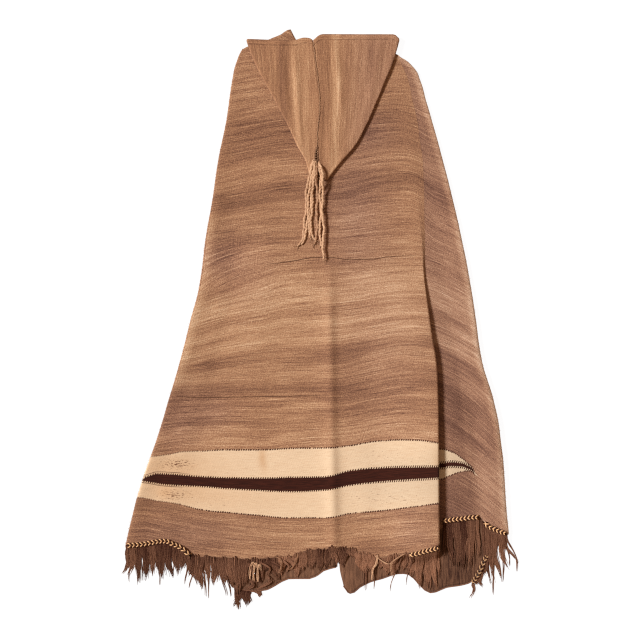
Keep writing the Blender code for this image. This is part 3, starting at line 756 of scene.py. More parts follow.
def woven_sheet(name, rows):
    """A grid whose rows run through the given lists of points (x, down, z)."""
    across = len(rows[0]) - 1
    along = len(rows) - 1
    fresh_selection()
    bpy.ops.mesh.primitive_grid_add(x_subdivisions=across, y_subdivisions=along, size=2,
                                    calc_uvs=False)
    sheet = bpy.context.active_object
    sheet.name = name
    for vertex in sheet.data.vertices:
        column = round((vertex.co.x + 1) / 2 * across)
        row = round((vertex.co.y + 1) / 2 * along)
        vertex.co = placed(*rows[row][column])
    print(name, "is", across, "by", along, "faces")
    return sheet


def grid_places(across, along):
    """The (row, column) of each vertex of a new grid, in the mesh's own order."""
    return [divmod(i, across + 1) for i in range((across + 1) * (along + 1))]


def add_loom_map(sheet, places):
    """A UV map from each vertex's place on the loom, in metres."""
    uv = sheet.data.uv_layers.new(name="loom")
    for loop in sheet.data.loops:
        uv.data[loop.index].uv = places[loop.vertex_index]


def add_attribute(sheet, name, kind, values):
    """A value for each vertex, under that name."""
    attribute = sheet.data.attributes.new(name, kind, "POINT")
    field = "vector" if kind == "FLOAT_VECTOR" else "value"
    attribute.data.foreach_set(field, np.array(values, float).ravel())


def thicken(sheet, thickness):
    wall = sheet.modifiers.new("wall", "SOLIDIFY")
    wall.thickness = thickness * MM
    wall.offset = 0
    wall.use_even_offset = True
    apply_modifiers(sheet)
    bpy.ops.object.shade_smooth()


def own(piece, slot, *nodes):
    """Puts a finished piece in the frame: it rides on the cloak and stands for its nodes."""
    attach(piece, "root")
    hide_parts(*nodes)

# %% The cloak's cloth
NO_HEM = 1000  # distance from a front's hem, for what lies on no front


def across_weft(rows):
    """How far along its weft each point of each row lies, in millimetres."""
    lengths = []
    for row in rows:
        total, line = 0.0, []
        for i, point in enumerate(row):
            if i:
                total += math.dist(point, row[i - 1])
            line.append(total)
        lengths.append([run - line[BACK_START] for run in line])
    return lengths


cloak = woven_sheet("cloak_cloth", cloak_rows)
cloak_places, cloak_edges, cloak_from_hem = [], [], []
cloak_patches, cloak_greys, cloak_stains_and_shade, cloak_specks = [], [], [], []
cloak_runs = across_weft(cloak_rows)
for row, column in grid_places(len(cloak_rows[0]) - 1, CLOAK_ROWS):
    x, down, _ = cloak_rows[row][column]
    weft, edges = weft_of(column, x, down)
    cloak_places.append((cloak_runs[row][column] * MM, weft * MM))
    cloak_edges.append(edges)
    from_hem = cloak_rows[-1][column][1] - down
    on_front = column < LEFT_TURN or column >= RIGHT_FRONT
    cloak_from_hem.append(from_hem if on_front else NO_HEM)
    on_top = BACK_START <= column < RIGHT_TURN
    beyond = SIDE_START <= column < RIGHT_FRONT
    side_darkening = side_tone(x, down) if beyond else 0.0
    cloak_greys.append(patch_value(x, down, GREYS) + (SIDE_GREY if beyond else 0.0))
    # worn holds painted light along the side folds; side_darkening holds darker wool and painted
    # shade beyond the pleat.
    worn = fold_painted_light(column, x, down) if BACK_START <= column < RIGHT_FRONT else 0.0
    cloak_patches.append(patch_value(x, down, PATCHES) + side_darkening + worn)
    cloak_stains_and_shade.append(patch_value(x, down, STAINS_AND_SHADE) if on_top else 0.0)
    cloak_specks.append(patch_value(x, down, SPECKS) if on_top else 0.0)
add_loom_map(cloak, cloak_places)
add_attribute(cloak, "edges", "FLOAT_VECTOR", [edges[:3] for edges in cloak_edges])
add_attribute(cloak, "past_bands", "FLOAT", [edges[3] for edges in cloak_edges])
add_attribute(cloak, "front_hem", "FLOAT", cloak_from_hem)
add_attribute(cloak, "patch", "FLOAT", cloak_patches)
add_attribute(cloak, "grey", "FLOAT", cloak_greys)
add_attribute(cloak, "stain_and_shade", "FLOAT", cloak_stains_and_shade)
add_attribute(cloak, "specks", "FLOAT", cloak_specks)
thicken(cloak, CLOTH)
own(cloak, "body_wool", "cloak_body")
print("cloak cloth:", len(cloak.data.polygons), "faces")

# %% [markdown]
# The hood is one piece of cloth, folded into a triangle and sewn along one side, and it
# lies flat and double with that seam on top. Its cloth was turned a quarter, so its
# stripes run from the brim to the tip. It is a second woven sheet, whose rows run round
# from the seam, under, and back to the seam, and whose map has the weft running down.

# %% One row of the hood
# Its two side folds, its seam, and the gap between its halves on the seam.
HOOD = (
    ("down", "left", "right", "seam", "gap"),
    (-13, -187, 202, -18, 0.3), (32, -172, 190, -13, 0.3), (93, -142, 166, -5, 0.3),
    (158, -107, 139, -1, 0.3), (219, -76, 111, -6, 0.3), (262, -56, 86, -8, 0.6),
    (274, -49, 76, -9, 3.0), (312, -32, 43, -8, 9.0), (345, -26, 19, -5, 14.0),
)
HOOD_BRIM_LEFT = (("x", "down"), (-187, -13), (-66, -10), (-41, -16), (-28, -15), (-18, -9))
HOOD_BRIM_RIGHT = (
    ("x", "down"),
    (-18, -9), (-11, -15), (-2, -22), (8, -25), (185, -25),
    (202, -13),
)
HOOD_NECK = -6  # the hood's lower layer starts here, on the neck seam
HOOD_LOFT = (
    ("x", "under", "over"),
    (-190, 0, 1.6), (0, 0.4, 2.2), (120, 0.1, 0.5), (205, 0.2, 0.7),
)
HOOD_FOLDS = (
    ("x", "down", "end_x", "end_down", "height", "width"),
    (-66, -10, -49, 250, 2.4, 6),
    (-102, -10, -82, 170, 1.8, 6),
    (36, -15, 56, 170, 2.0, 7),
    (158, -20, 126, 150, 1.8, 8),
    (18, 60, 24, 300, 1.1, 7),
)
SEAM_RIDGE = 1.5
SEAM_WIDTH = 14
HOOD_SIDE_COLUMNS = 34
HOOD_UNDER_COLUMNS = 26
HOOD_TURN_COLUMNS = 7
HOOD_GRID_ROWS = 74
HOOD_WAVE = 0.9  # height of the long waves that run to the tip
HOOD_DENT = 0.4


def hood_under(x, down):
    """Middle of the hood's lower layer, on the back."""
    return back_height(x, down) + LAYER + read(HOOD_LOFT, "under", x)


def hood_over(x, down):
    """Middle of the hood's upper layer, with the ridge of its seam."""
    from_seam = (x - read(HOOD, "seam", down)) / SEAM_WIDTH
    ridge = SEAM_RIDGE * math.exp(-from_seam ** 2)
    return hood_under(x, down) + LAYER + read(HOOD_LOFT, "over", x) + ridge


def hood_dents(x, down):
    """Folds of the hood's upper layer: long soft waves that run to its tip."""
    tip_x, tip_down = -5, 345
    turned = math.atan2(x - tip_x, tip_down + 60 - down)
    waves = noise.noise(Vector((turned * 9, down / 260, 2.7)))
    small = noise.noise(Vector((x / 30, down / 30, 6.1)))
    return HOOD_WAVE * waves + HOOD_DENT * small + fold_heights(x, down, HOOD_FOLDS)


def hood_row(v):
    """One row round the hood, from its seam round the right fold and under, and back."""
    brim, tip = HOOD[1][0], HOOD[-1][0]
    down = mix(brim, tip, v)
    near_brim = (1 - ease(v * 5)) ** 2
    left = read(HOOD, "left", down) + HALF
    right = read(HOOD, "right", down) - HALF
    seam = read(HOOD, "seam", down)
    gap = read(HOOD, "gap", down) / 2

    def over(x, brim_table):
        lifted = down + (read(brim_table, "down", x) - brim) * near_brim
        inside = min(abs(x - seam) - gap, x - left + 3, right + 3 - x)
        return (x, lifted, hood_over(x, down) + hood_dents(x, down) * ease(inside / 16))

    def under(x):
        return (x, down + (HOOD_NECK - brim) * near_brim, hood_under(x, down))

    left_turn = (hood_over(left, down) - hood_under(left, down)) / 2
    right_turn = (hood_over(right, down) - hood_under(right, down)) / 2
    left += left_turn
    right -= right_turn
    sides = even(HOOD_SIDE_COLUMNS)
    right_top = [over(mix(seam + gap, right, s), HOOD_BRIM_RIGHT) for s in sides]
    below = [under(mix(right, left, s)) for s in even(HOOD_UNDER_COLUMNS)]
    left_top = [over(mix(left, seam - gap, s), HOOD_BRIM_LEFT) for s in sides]
    right_fold = half_turn(right_top[-1], below[0], 1, HOOD_TURN_COLUMNS)
    left_fold = half_turn(below[-1], left_top[0], -1, HOOD_TURN_COLUMNS)
    return right_top + right_fold + below + left_fold + left_top


print("the hood's rows have", len(hood_row(0)), "points")

# %% The hood's cloth
# Places on the hood where the wool is darker or, above zero, lighter than its stripe.
HOOD_PATCHES = (
    SPOTS,
    # Below, the narrow light line at (-66, 80) is a painted highlight along a fold's ridge.
    (-20, 98, 11, 46, -0.13), (-96, 118, 9, 50, -0.08), (-66, 80, 4.5, 70, 0.1),
    (80, 62, 38, 44, -0.06), (133, 32, 5, 44, -0.14), (28, 222, 5, 76, -0.13),
    (76, 200, 5, 36, -0.1), (52, 205, 6, 60, 0.08), (47, 100, 6, 28, 0.13),
    (-140, 118, 26, 32, -0.06), (-150, 44, 16, 22, 0.08), (110, -12, 80, 16, 0.05),
    (150, 90, 12, 20, -0.08), (6, 240, 10, 50, 0.05), (110, 90, 18, 50, 0.05),
)
HOOD_WANDER = 7  # how far its stripes wander
HOOD_SPLAY = 0.06  # how much they spread towards the brim
hood_rows = [hood_row(i / HOOD_GRID_ROWS) for i in range(HOOD_GRID_ROWS + 1)]
hood = woven_sheet("hood_cloth", hood_rows)
hood_places, hood_from_brim, hood_patches = [], [], []
for row, column in grid_places(len(hood_rows[0]) - 1, HOOD_GRID_ROWS):
    x, down, _ = hood_rows[row][column]
    top = hood_rows[0][column][1]
    wander = HOOD_WANDER * noise.noise(Vector((x / 60, down / 90, 7.3)))
    splay = HOOD_SPLAY * (down - 100) * (x / 150)
    hood_places.append((down * MM, (x + wander + splay) * MM))
    hood_from_brim.append(down - top)
    hood_patches.append(patch_value(x, down, HOOD_PATCHES))
add_loom_map(hood, hood_places)
add_attribute(hood, "from_brim", "FLOAT", hood_from_brim)
add_attribute(hood, "patch", "FLOAT", hood_patches)
thicken(hood, CLOTH)
own(hood, "hood_wool", "hood")
print("hood cloth:", len(hood.data.polygons), "faces")

# %% [markdown]
# Handspun wool is never one colour. Each weft yarn is a shade lighter or darker than
# the next, and changes along its length, so the cloth is full of fine streaks along the
# weft. The batches of wool make broad bands as well. Both come from one group: noise
# that is stretched along the yarn. A second group gives the weave's relief, and a third
# the little ticks where the bands' yarns lock together.

# %% Helpers for materials
MM_PER_M = 1000.0


def colour(red, green, blue):
    """A colour as it is seen on a screen, 0 to 255, in the shader's linear terms."""
    linear = [((c / 255 + 0.055) / 1.055) ** 2.4 for c in (red, green, blue)]
    return (*linear, 1)


def add_node(tree, kind, sources=None, **settings):
    """A shader node. sources gives each named input a number, or a socket to take."""
    node = tree.nodes.new("ShaderNode" + kind)
    for setting, value in settings.items():
        setattr(node, setting, value)
    for name, value in (sources or {}).items():
        if isinstance(value, bpy.types.NodeSocket):
            tree.links.new(value, node.inputs[name])
        else:
            node.inputs[name].default_value = value
    return node


def maths(tree, operation, *values, clamp=False):
    """A Math node's result."""
    sources = dict(enumerate(values))
    node = add_node(tree, "Math", sources, operation=operation, use_clamp=clamp)
    return node.outputs[0]


def times(tree, *values, clamp=False):
    return maths(tree, "MULTIPLY", *values, clamp=clamp)


def plus(tree, *values, clamp=False):
    return maths(tree, "ADD", *values, clamp=clamp)


def minus(tree, *values):
    return maths(tree, "SUBTRACT", *values)


def swing(tree, value, reach):
    """A noise around 0.5, as a swing around nothing that is reach wide."""
    return times(tree, minus(tree, value, 0.5), reach)


def split(tree, vector):
    return add_node(tree, "SeparateXYZ", {0: vector}).outputs


def joined(tree, *values):
    return add_node(tree, "CombineXYZ", dict(enumerate(values))).outputs[0]


def cloud(tree, place, scale, detail):
    """Plain noise, from 0 to 1."""
    sources = {"Vector": place, "Scale": scale, "Detail": detail}
    return add_node(tree, "TexNoise", sources).outputs[0]


def attribute(tree, name, output="Fac"):
    """What the piece's vertices hold under that name."""
    return add_node(tree, "Attribute", attribute_name=name).outputs[output]


def between(tree, value, low, high, to_low=0.0, to_high=1.0):
    """value from low to high, as to_low to to_high, and no further."""
    sources = {"Value": value, "From Min": low, "From Max": high,
               "To Min": to_low, "To Max": to_high}
    return add_node(tree, "MapRange", sources, interpolation_type="SMOOTHSTEP").outputs[0]


def within(tree, from_start, from_end, soft):
    """A mask from where from_start passes zero to where from_end does."""
    started = between(tree, from_start, -soft, soft)
    return times(tree, started, between(tree, from_end, -soft, soft, 1.0, 0.0))


def mixed(tree, share, a, b, blend="MIX"):
    """Colour a, with b over it by share."""
    node = tree.nodes.new("ShaderNodeMix")
    node.data_type = "RGBA"
    node.blend_type = blend
    for index, value in ((0, share), (6, a), (7, b)):
        if isinstance(value, bpy.types.NodeSocket):
            tree.links.new(value, node.inputs[index])
        else:
            node.inputs[index].default_value = value
    return node.outputs[2]


def new_group(name, inputs, outputs):
    """An empty node group; inputs and outputs are (name, kind, value) and (name, kind)."""
    group = bpy.data.node_groups.new(name, "ShaderNodeTree")
    for socket, kind, value in inputs:
        made = group.interface.new_socket(socket, in_out="INPUT", socket_type="NodeSocket" + kind)
        if value is not None:
            made.default_value = value
    for socket, kind in outputs:
        group.interface.new_socket(socket, in_out="OUTPUT", socket_type="NodeSocket" + kind)
    given = group.nodes.new("NodeGroupInput").outputs
    return group, given, group.nodes.new("NodeGroupOutput").inputs


def use_group(tree, group, **sources):
    """A group placed in a tree; sources names its inputs."""
    return add_node(tree, "Group", sources, node_tree=group).outputs

# %% Streaks, weave and ticks
def make_streaks():
    """Noise stretched along the yarn: Length and Width are the size of a streak, in mm."""
    tree, given, result = new_group(
        "streaks",
        [("Place", "Vector", None), ("Length", "Float", 60.0), ("Width", "Float", 3.0),
         ("Seed", "Float", 0.0), ("Detail", "Float", 2.0)],
        [("Value", "Float")],
    )
    place = split(tree, given["Place"])
    along = maths(tree, "DIVIDE", times(tree, place[0], MM_PER_M), given["Length"])
    across = maths(tree, "DIVIDE", times(tree, place[1], MM_PER_M), given["Width"])
    spot = joined(tree, along, across, given["Seed"])
    grain = add_node(tree, "TexNoise", {"Vector": spot, "Scale": 1.0, "Detail": given["Detail"],
                                        "Roughness": 0.6})
    tree.links.new(grain.outputs[0], result["Value"])
    return tree


def make_weave():
    """Relief of a plain weave: weft yarns over and under the warps, in turn, and fuzz."""
    tree, given, result = new_group(
        "weave relief",
        [("Place", "Vector", None), ("Weft", "Float", 1.9), ("Warp", "Float", 3.2),
         ("Fuzz", "Float", 0.5)],
        [("Height", "Float")],
    )
    place = split(tree, given["Place"])
    wander = swing(tree, cloud(tree, given["Place"], 90.0, 1.0), 1.6)
    weft = maths(tree, "DIVIDE", times(tree, place[1], MM_PER_M), given["Weft"])
    weft = plus(tree, weft, wander)
    warp = maths(tree, "DIVIDE", times(tree, place[0], MM_PER_M), given["Warp"])
    turn = times(tree, maths(tree, "FLOOR", weft), math.pi)
    beat = plus(tree, times(tree, warp, math.pi / 2), turn)
    bead = maths(tree, "ABSOLUTE", maths(tree, "SINE", beat))
    round_yarn = maths(tree, "ABSOLUTE", maths(tree, "SINE", times(tree, weft, math.pi)))
    fuzz = cloud(tree, given["Place"], 900.0, 2.0)
    woven = times(tree, plus(tree, times(tree, bead, 0.35), 0.65), round_yarn)
    height = plus(tree, woven, times(tree, fuzz, given["Fuzz"]))
    tree.links.new(height, result["Height"])
    return tree


def make_ticks():
    """A row of ticks on a line: Distance from it, and Along it, in mm."""
    tree, given, result = new_group(
        "tick row",
        [("Distance", "Float", 0.0), ("Along", "Float", 0.0), ("Pitch", "Float", 5.6),
         ("Height", "Float", 2.5), ("Share", "Float", 0.5), ("Wear", "Float", 0.3)],
        [("Mask", "Float")],
    )
    uneven = cloud(tree, joined(tree, given["Along"], given["Pitch"]), 0.11, 1.0)
    along = maths(tree, "DIVIDE", given["Along"], given["Pitch"])
    beat = maths(tree, "FRACT", plus(tree, along, uneven))
    from_middle = maths(tree, "ABSOLUTE", minus(tree, beat, 0.5))
    half_share = times(tree, given["Share"], 0.5)
    tick = between(tree, from_middle, half_share, plus(tree, half_share, 0.12), 1.0, 0.0)
    half_height = times(tree, given["Height"], 0.5)
    away = maths(tree, "ABSOLUTE", given["Distance"])
    row = between(tree, away, half_height, plus(tree, half_height, 0.8), 1.0, 0.0)
    fade = between(tree, uneven, times(tree, given["Wear"], 0.9), plus(tree, given["Wear"], 0.12))
    mask = times(tree, times(tree, tick, row), fade)
    tree.links.new(mask, result["Mask"])
    return tree


STREAKS, WEAVE, TICKS = make_streaks(), make_weave(), make_ticks()
print("groups:", [group.name for group in bpy.data.node_groups])

# %% [markdown]
# A wool finish starts on one Principled shader: very rough, with a little sheen, since
# the ends of the fibres catch the light at an angle. Its tone, from 0 to 1, is the sum
# of the broad bands and the streaks, and a ramp turns the tone into wool's own colours,
# from a grey brown to a light tan. Relief goes through a Bump node.

# %% Starting a wool finish
WOOL_DARK = colour(94, 60, 43)
WOOL_DEEP = colour(133, 92, 69)
WOOL_TAN = colour(175, 127, 93)
WOOL_LIGHT = colour(208, 162, 122)
WOOL_PALE = colour(234, 194, 154)
CREAM = colour(241, 212, 177)
CREAM_SHADE = colour(222, 182, 143)
CREAM_FLECK = colour(206, 160, 120)
STAIN_AND_SHADE_TAN = colour(208, 158, 110)
SPECK_BROWN = colour(118, 76, 54)
BAND_BROWN = colour(48, 16, 5)
BAND_LIGHTER = colour(70, 29, 16)
TICK_BROWN = colour(82, 46, 32)
BORDER_DARK = colour(58, 32, 22)
BORDER_PALE = colour(156, 112, 84)
HOOD_TAN = colour(184, 132, 90)
GREYER = (0.95, 0.995, 1.18, 1)  # what soiling multiplies brown wool by
SOIL_AND_SHADE = (0.87, 0.9, 0.93, 1)  # and cream wool, where it is soiled, and as painted shade beside the pleat's lip
RELIEF_DEPTH = 0.5  # of the weave, in mm


def start_finish(name, roughness=0.92, sheen=0.1):
    """A new material: its node tree and its Principled shader."""
    material = bpy.data.materials.new(name)
    material.use_nodes = True
    surface = material.node_tree.nodes["Principled BSDF"]
    surface.inputs["Roughness"].default_value = roughness
    surface.inputs["Sheen Weight"].default_value = sheen
    surface.inputs["Sheen Roughness"].default_value = 0.5
    surface.inputs["Specular IOR Level"].default_value = 0.2
    return material, material.node_tree, surface


def add_relief(tree, surface, height, depth):
    """Height, as a bump of that depth in mm."""
    bump = add_node(tree, "Bump", {"Height": height, "Distance": depth * MM, "Strength": 1.0})
    tree.links.new(bump.outputs[0], surface.inputs["Normal"])


def tone_colour(tree, tone):
    ramp = add_node(tree, "ValToRGB", {0: tone})
    stops = ramp.color_ramp.elements
    stops[0].color, stops[1].color = WOOL_DARK, WOOL_PALE
    for position, shade in ((0.28, WOOL_DEEP), (0.55, WOOL_TAN), (0.8, WOOL_LIGHT)):
        stops.new(position).color = shade
    return ramp.outputs[0]


def tone_along(tree, value, table, reach):
    """A tone from a table of (place, tone) rows, for a value in mm, up to reach."""
    curve = add_node(tree, "FloatCurve", {"Value": maths(tree, "DIVIDE", value, reach)})
    points = curve.mapping.curves[0].points
    rows = table[1:]
    for _ in rows[2:]:
        points.new(0.5, 0.5)
    for point, (place, tone) in zip(points, rows):
        point.location = (place / reach, tone)
    curve.mapping.update()
    return curve.outputs[0]


# Each layer of the grain: a streak's length and width in mm, and how much it shows.
GRAIN = (
    (3.4, 2.5, 0.82),
    (14, 1.9, 0.42),
    (75, 2.8, 0.34),
    (150, 5.5, 0.32),
    (230, 13.0, 0.36),
)
STRAYS = ((11.0, 0.21), (12.0, -0.22))  # seed and tone of the pale and dark stray yarns


def streaks(tree, place, length, width, seed, detail=2.0):
    """The group of streaks at a place, with its values in mm."""
    return use_group(tree, STREAKS, Place=place, Length=length, Width=width, Seed=seed,
                     Detail=detail)["Value"]


def layered(tree, place, layers, first_seed=0.0, detail=2.0):
    """What layers of streaks add to a tone."""
    tone = 0.0
    for seed, (length, width, share) in enumerate(layers):
        streak = streaks(tree, place, length, width, first_seed + seed, detail)
        tone = plus(tree, tone, swing(tree, streak, share))
    return tone


def wool_grain(tree, place):
    """What the grain and a few stray yarns add to the wool's tone."""
    tone = layered(tree, place, GRAIN, detail=1.0)
    for seed, lift in STRAYS:
        stray = streaks(tree, place, 110, 1.7, seed, 0.0)
        tone = plus(tree, tone, between(tree, stray, 0.64, 0.74, 0.0, lift))
    return tone


print("the grain has", len(GRAIN), "layers")

# %% [markdown]
# The cloak's stripes are spun in, from fleeces of other shades, and a curve from place to
# tone holds them. The pale bands are cream wool with a dark band between them. Where two
# bands meet, the weaver let their yarns interlock, which leaves teeth and a row of ticks.

# %% The striped wool of the cloak
STRIPES = (
    ("down", "tone"),
    (0, 0.52), (90, 0.56), (165, 0.49), (205, 0.39), (262, 0.44),
    (320, 0.56), (352, 0.4), (378, 0.4), (398, 0.52), (440, 0.56),
    (485, 0.53), (500, 0.47), (516, 0.58), (540, 0.56), (570, 0.61),
    (625, 0.75), (660, 0.65), (678, 0.58), (702, 0.74), (718, 0.63),
    (742, 0.72), (765, 0.61), (792, 0.47), (820, 0.61), (836, 0.61),
    (858, 0.49), (880, 0.43), (905, 0.47), (926, 0.52), (944, 0.46),
    (970, 0.59), (1010, 0.63), (1120, 0.54), (1210, 0.49), (1250, 0.59),
    (1290, 0.54), (1330, 0.45),
)
REACH = 1400  # the stripes' table covers this much weft
FRONT_BORDER = 150  # the fronts' woven hem is dark brown for this far
TICK_PITCH = 6.0  # from one tick of a band's edge to the next
WARP_GRAIN = ((3.4, 2.5, 0.7), (30, 4.0, 1.1), (80, 9.0, 0.9))


def band_masks(tree, along, edges, past):
    """Masks of the cream bands, the dark band and the ticks between them."""
    spread = split(tree, edges)
    waver = swing(tree, cloud(tree, joined(tree, along), 0.05, 2.0), 2.4)
    upper, dark, dark_end = (plus(tree, spread[i], waver) for i in range(3))
    end = plus(tree, past, waver)
    comb = maths(tree, "SINE", times(tree, along, 2 * math.pi / TICK_PITCH))
    comb = between(tree, comb, -0.2, 0.2)
    reach = between(tree, along, 560.0, 660.0, 3.4, 5.6)
    dark = plus(tree, dark, times(tree, comb, reach))
    dark_end = minus(tree, dark_end, times(tree, comb, reach))
    cream = within(tree, upper, end, 0.6)
    strip = within(tree, dark, dark_end, 0.7)
    # At its left end the dark band has a thin line beside it, above and below.
    lines = 0.0
    for away in (plus(tree, spread[1], 6.0), minus(tree, spread[2], 5.0)):
        line = between(tree, maths(tree, "ABSOLUTE", away), 0.5, 1.5, 0.75, 0.0)
        lines = maths(tree, "MAXIMUM", line, lines)
    lines = times(tree, lines, between(tree, along, 80.0, 125.0, 1.0, 0.0))
    lines = times(tree, lines, cream)
    ticks = 0.0
    for distance, height, wear in ((upper, 3.4, 0.28), (end, 3.2, 0.33)):
        row = use_group(tree, TICKS, Distance=distance, Along=along, Height=height, Wear=wear,
                        Pitch=TICK_PITCH)["Mask"]
        ticks = maths(tree, "MAXIMUM", row, ticks)
    ticks = times(tree, ticks, between(tree, along, 70.0, 190.0, 0.5, 1.0))
    ticks = maths(tree, "MAXIMUM", ticks, lines)
    apart = between(tree, minus(tree, spread[0], past), 2.0, 9.0)
    return cream, times(tree, strip, apart), times(tree, ticks, apart)


def warp_grain(tree):
    """The grain of the fronts' border, which shows its warp and so runs down the cloth."""
    spot = split(tree, add_node(tree, "TexCoord").outputs["Object"])
    turned = joined(tree, spot[1], spot[0])
    return layered(tree, turned, WARP_GRAIN, first_seed=20.0)


def pale_wool(tree, place, soft):
    """The cream of the bands, with its flecks, its stains and painted shade, and its brown specks.
    """
    pale = mixed(tree, between(tree, soft, 0.35, 0.7, 0.0, 0.28), CREAM, CREAM_SHADE)
    fine = streaks(tree, place, 26, 1.9, 8.0)
    pale = mixed(tree, between(tree, fine, 0.4, 0.8, 0.0, 0.34), pale, CREAM_FLECK)
    # The stain attribute also holds painted shade beside the pleat's lip.
    stain_and_shade = times(tree, attribute(tree, "stain_and_shade"), 0.7, clamp=True)
    pale = mixed(tree, stain_and_shade, pale, STAIN_AND_SHADE_TAN)
    specks = attribute(tree, "specks")
    limit = minus(tree, 0.66, times(tree, specks, 0.19))
    over = minus(tree, streaks(tree, place, 8.5, 3.4, 9.0), limit)
    over = times(tree, over, 14.0, clamp=True)
    dense = plus(tree, 0.3, times(tree, specks, 0.8))
    return mixed(tree, times(tree, over, dense, clamp=True), pale, SPECK_BROWN)


def make_striped_wool():
    material, tree, surface = start_finish("striped wool")
    place = add_node(tree, "UVMap", uv_map="loom").outputs[0]
    spot = split(tree, place)
    along = times(tree, spot[0], MM_PER_M)
    drift = swing(tree, streaks(tree, place, 170, 60, 5.0), 40.0)
    weft = plus(tree, times(tree, spot[1], MM_PER_M), drift)
    patch = attribute(tree, "patch")
    tone = plus(tree, tone_along(tree, weft, STRIPES, REACH), patch)
    tone = plus(tree, tone, wool_grain(tree, place), clamp=True)
    soil_and_shade = attribute(tree, "grey")
    grey = plus(tree, soil_and_shade, 0.15, clamp=True)
    wool = mixed(tree, grey, tone_colour(tree, tone), GREYER, "MULTIPLY")
    edges = attribute(tree, "edges", "Vector")
    cream, strip, ticks = band_masks(tree, along, edges, attribute(tree, "past_bands"))
    soft = streaks(tree, place, 40, 2.2, 4.0)
    pale = mixed(tree, soil_and_shade, pale_wool(tree, place, soft), SOIL_AND_SHADE, "MULTIPLY")
    shade = mixed(tree, cream, wool, pale)
    brown = mixed(tree, between(tree, soft, 0.35, 0.68), BAND_BROWN, BAND_LIGHTER)
    shade = mixed(tree, strip, shade, brown)
    shade = mixed(tree, ticks, shade, TICK_BROWN)
    hem = attribute(tree, "front_hem")
    border = between(tree, hem, FRONT_BORDER - 3, FRONT_BORDER + 3, 1.0, 0.0)
    border_tone = plus(tree, plus(tree, warp_grain(tree), patch), 0.46, clamp=True)
    shade = mixed(tree, border, shade, mixed(tree, border_tone, BORDER_DARK, BORDER_PALE))
    tree.links.new(shade, surface.inputs["Base Color"])
    ridge = times(tree, streaks(tree, place, 60, 3.0, 2.0),
                  between(tree, border, 0.0, 1.0, 1.6, 0.3))
    relief = plus(tree, use_group(tree, WEAVE, Place=place)["Height"], ridge)
    smooth = plus(tree, times(tree, cream, 0.45), times(tree, border, 0.3))
    relief = times(tree, relief, minus(tree, 1.0, smooth))
    add_relief(tree, surface, relief, RELIEF_DEPTH)
    return material


striped_wool = make_striped_wool()
cloak.data.materials.append(striped_wool)
print("stripes:", len(STRIPES) - 1, "tones over", REACH, "mm")

# %% [markdown]
# The hood's cloth is a little warmer, and greyer on its right. Its stripes have a table
# of their own, and along the brim a narrow band is woven the other way, with a line of
# stitches beside it.

# %% The wool of the hood
HOOD_STRIPES = (
    ("x", "tone"),
    (0, 0.46), (60, 0.47), (88, 0.53), (108, 0.38), (125, 0.51),
    (146, 0.68), (172, 0.6), (190, 0.55), (206, 0.46), (222, 0.54),
    (238, 0.77), (260, 0.54), (290, 0.6), (320, 0.5), (350, 0.54),
    (400, 0.6),
)
HOOD_REACH = 400
HOOD_ZERO = 200  # the table's x starts this far to the left of the middle
BRIM_BAND = 13  # along the brim, the hood's weave runs the other way


def make_hood_wool():
    material, tree, surface = start_finish("hood wool")
    place = add_node(tree, "UVMap", uv_map="loom").outputs[0]
    spot = split(tree, place)
    weft = plus(tree, times(tree, spot[1], MM_PER_M), HOOD_ZERO)
    broad = tone_along(tree, weft, HOOD_STRIPES, HOOD_REACH)
    brim = attribute(tree, "from_brim")
    band = between(tree, brim, BRIM_BAND - 0.5, BRIM_BAND + 0.5, 1.0, 0.0)
    turned = joined(tree, spot[1], spot[0])
    woven = add_node(tree, "Mix", {0: band, 4: place, 5: turned}, data_type="VECTOR").outputs[1]
    fine = times(tree, wool_grain(tree, woven), 0.77)
    broad = plus(tree, broad, between(tree, brim, 10.0, 110.0, -0.03, 0.01))
    broad = plus(tree, broad, attribute(tree, "patch"))
    tone = plus(tree, broad, fine, clamp=True)
    shade = mixed(tree, 0.15, tone_colour(tree, tone), HOOD_TAN)
    shade = mixed(tree, between(tree, weft, 230.0, 330.0, 0.1, 0.75), shade, GREYER, "MULTIPLY")
    from_line = maths(tree, "ABSOLUTE", minus(tree, brim, BRIM_BAND))
    line = between(tree, from_line, 0.9, 2.0, 0.5, 0.0)
    stitched = streaks(tree, place, 14, 9, 6.0)
    line = times(tree, line, between(tree, stitched, 0.35, 0.6, 0.25, 1.0))
    shade = mixed(tree, line, shade, WOOL_DARK)
    tree.links.new(shade, surface.inputs["Base Color"])
    ridge = times(tree, streaks(tree, place, 60, 3.0, 2.0), 1.6)
    relief = plus(tree, use_group(tree, WEAVE, Place=place)["Height"], ridge)
    add_relief(tree, surface, relief, RELIEF_DEPTH)
    return material


hood_wool = make_hood_wool()
hood.data.materials.append(hood_wool)
print("finishes:", striped_wool.name, "and", hood_wool.name)

# %% [markdown]
# Cords, fringe and tassel are all yarn, and there are thousands of yarns, so one yarn
# is modelled once: a thin cylinder, closed at both ends and cut into segments. An Array
# modifier repeats it, and each copy's rings are then set along that copy's own path. A
# curve for each yarn would look the same and take far longer to make and to join.

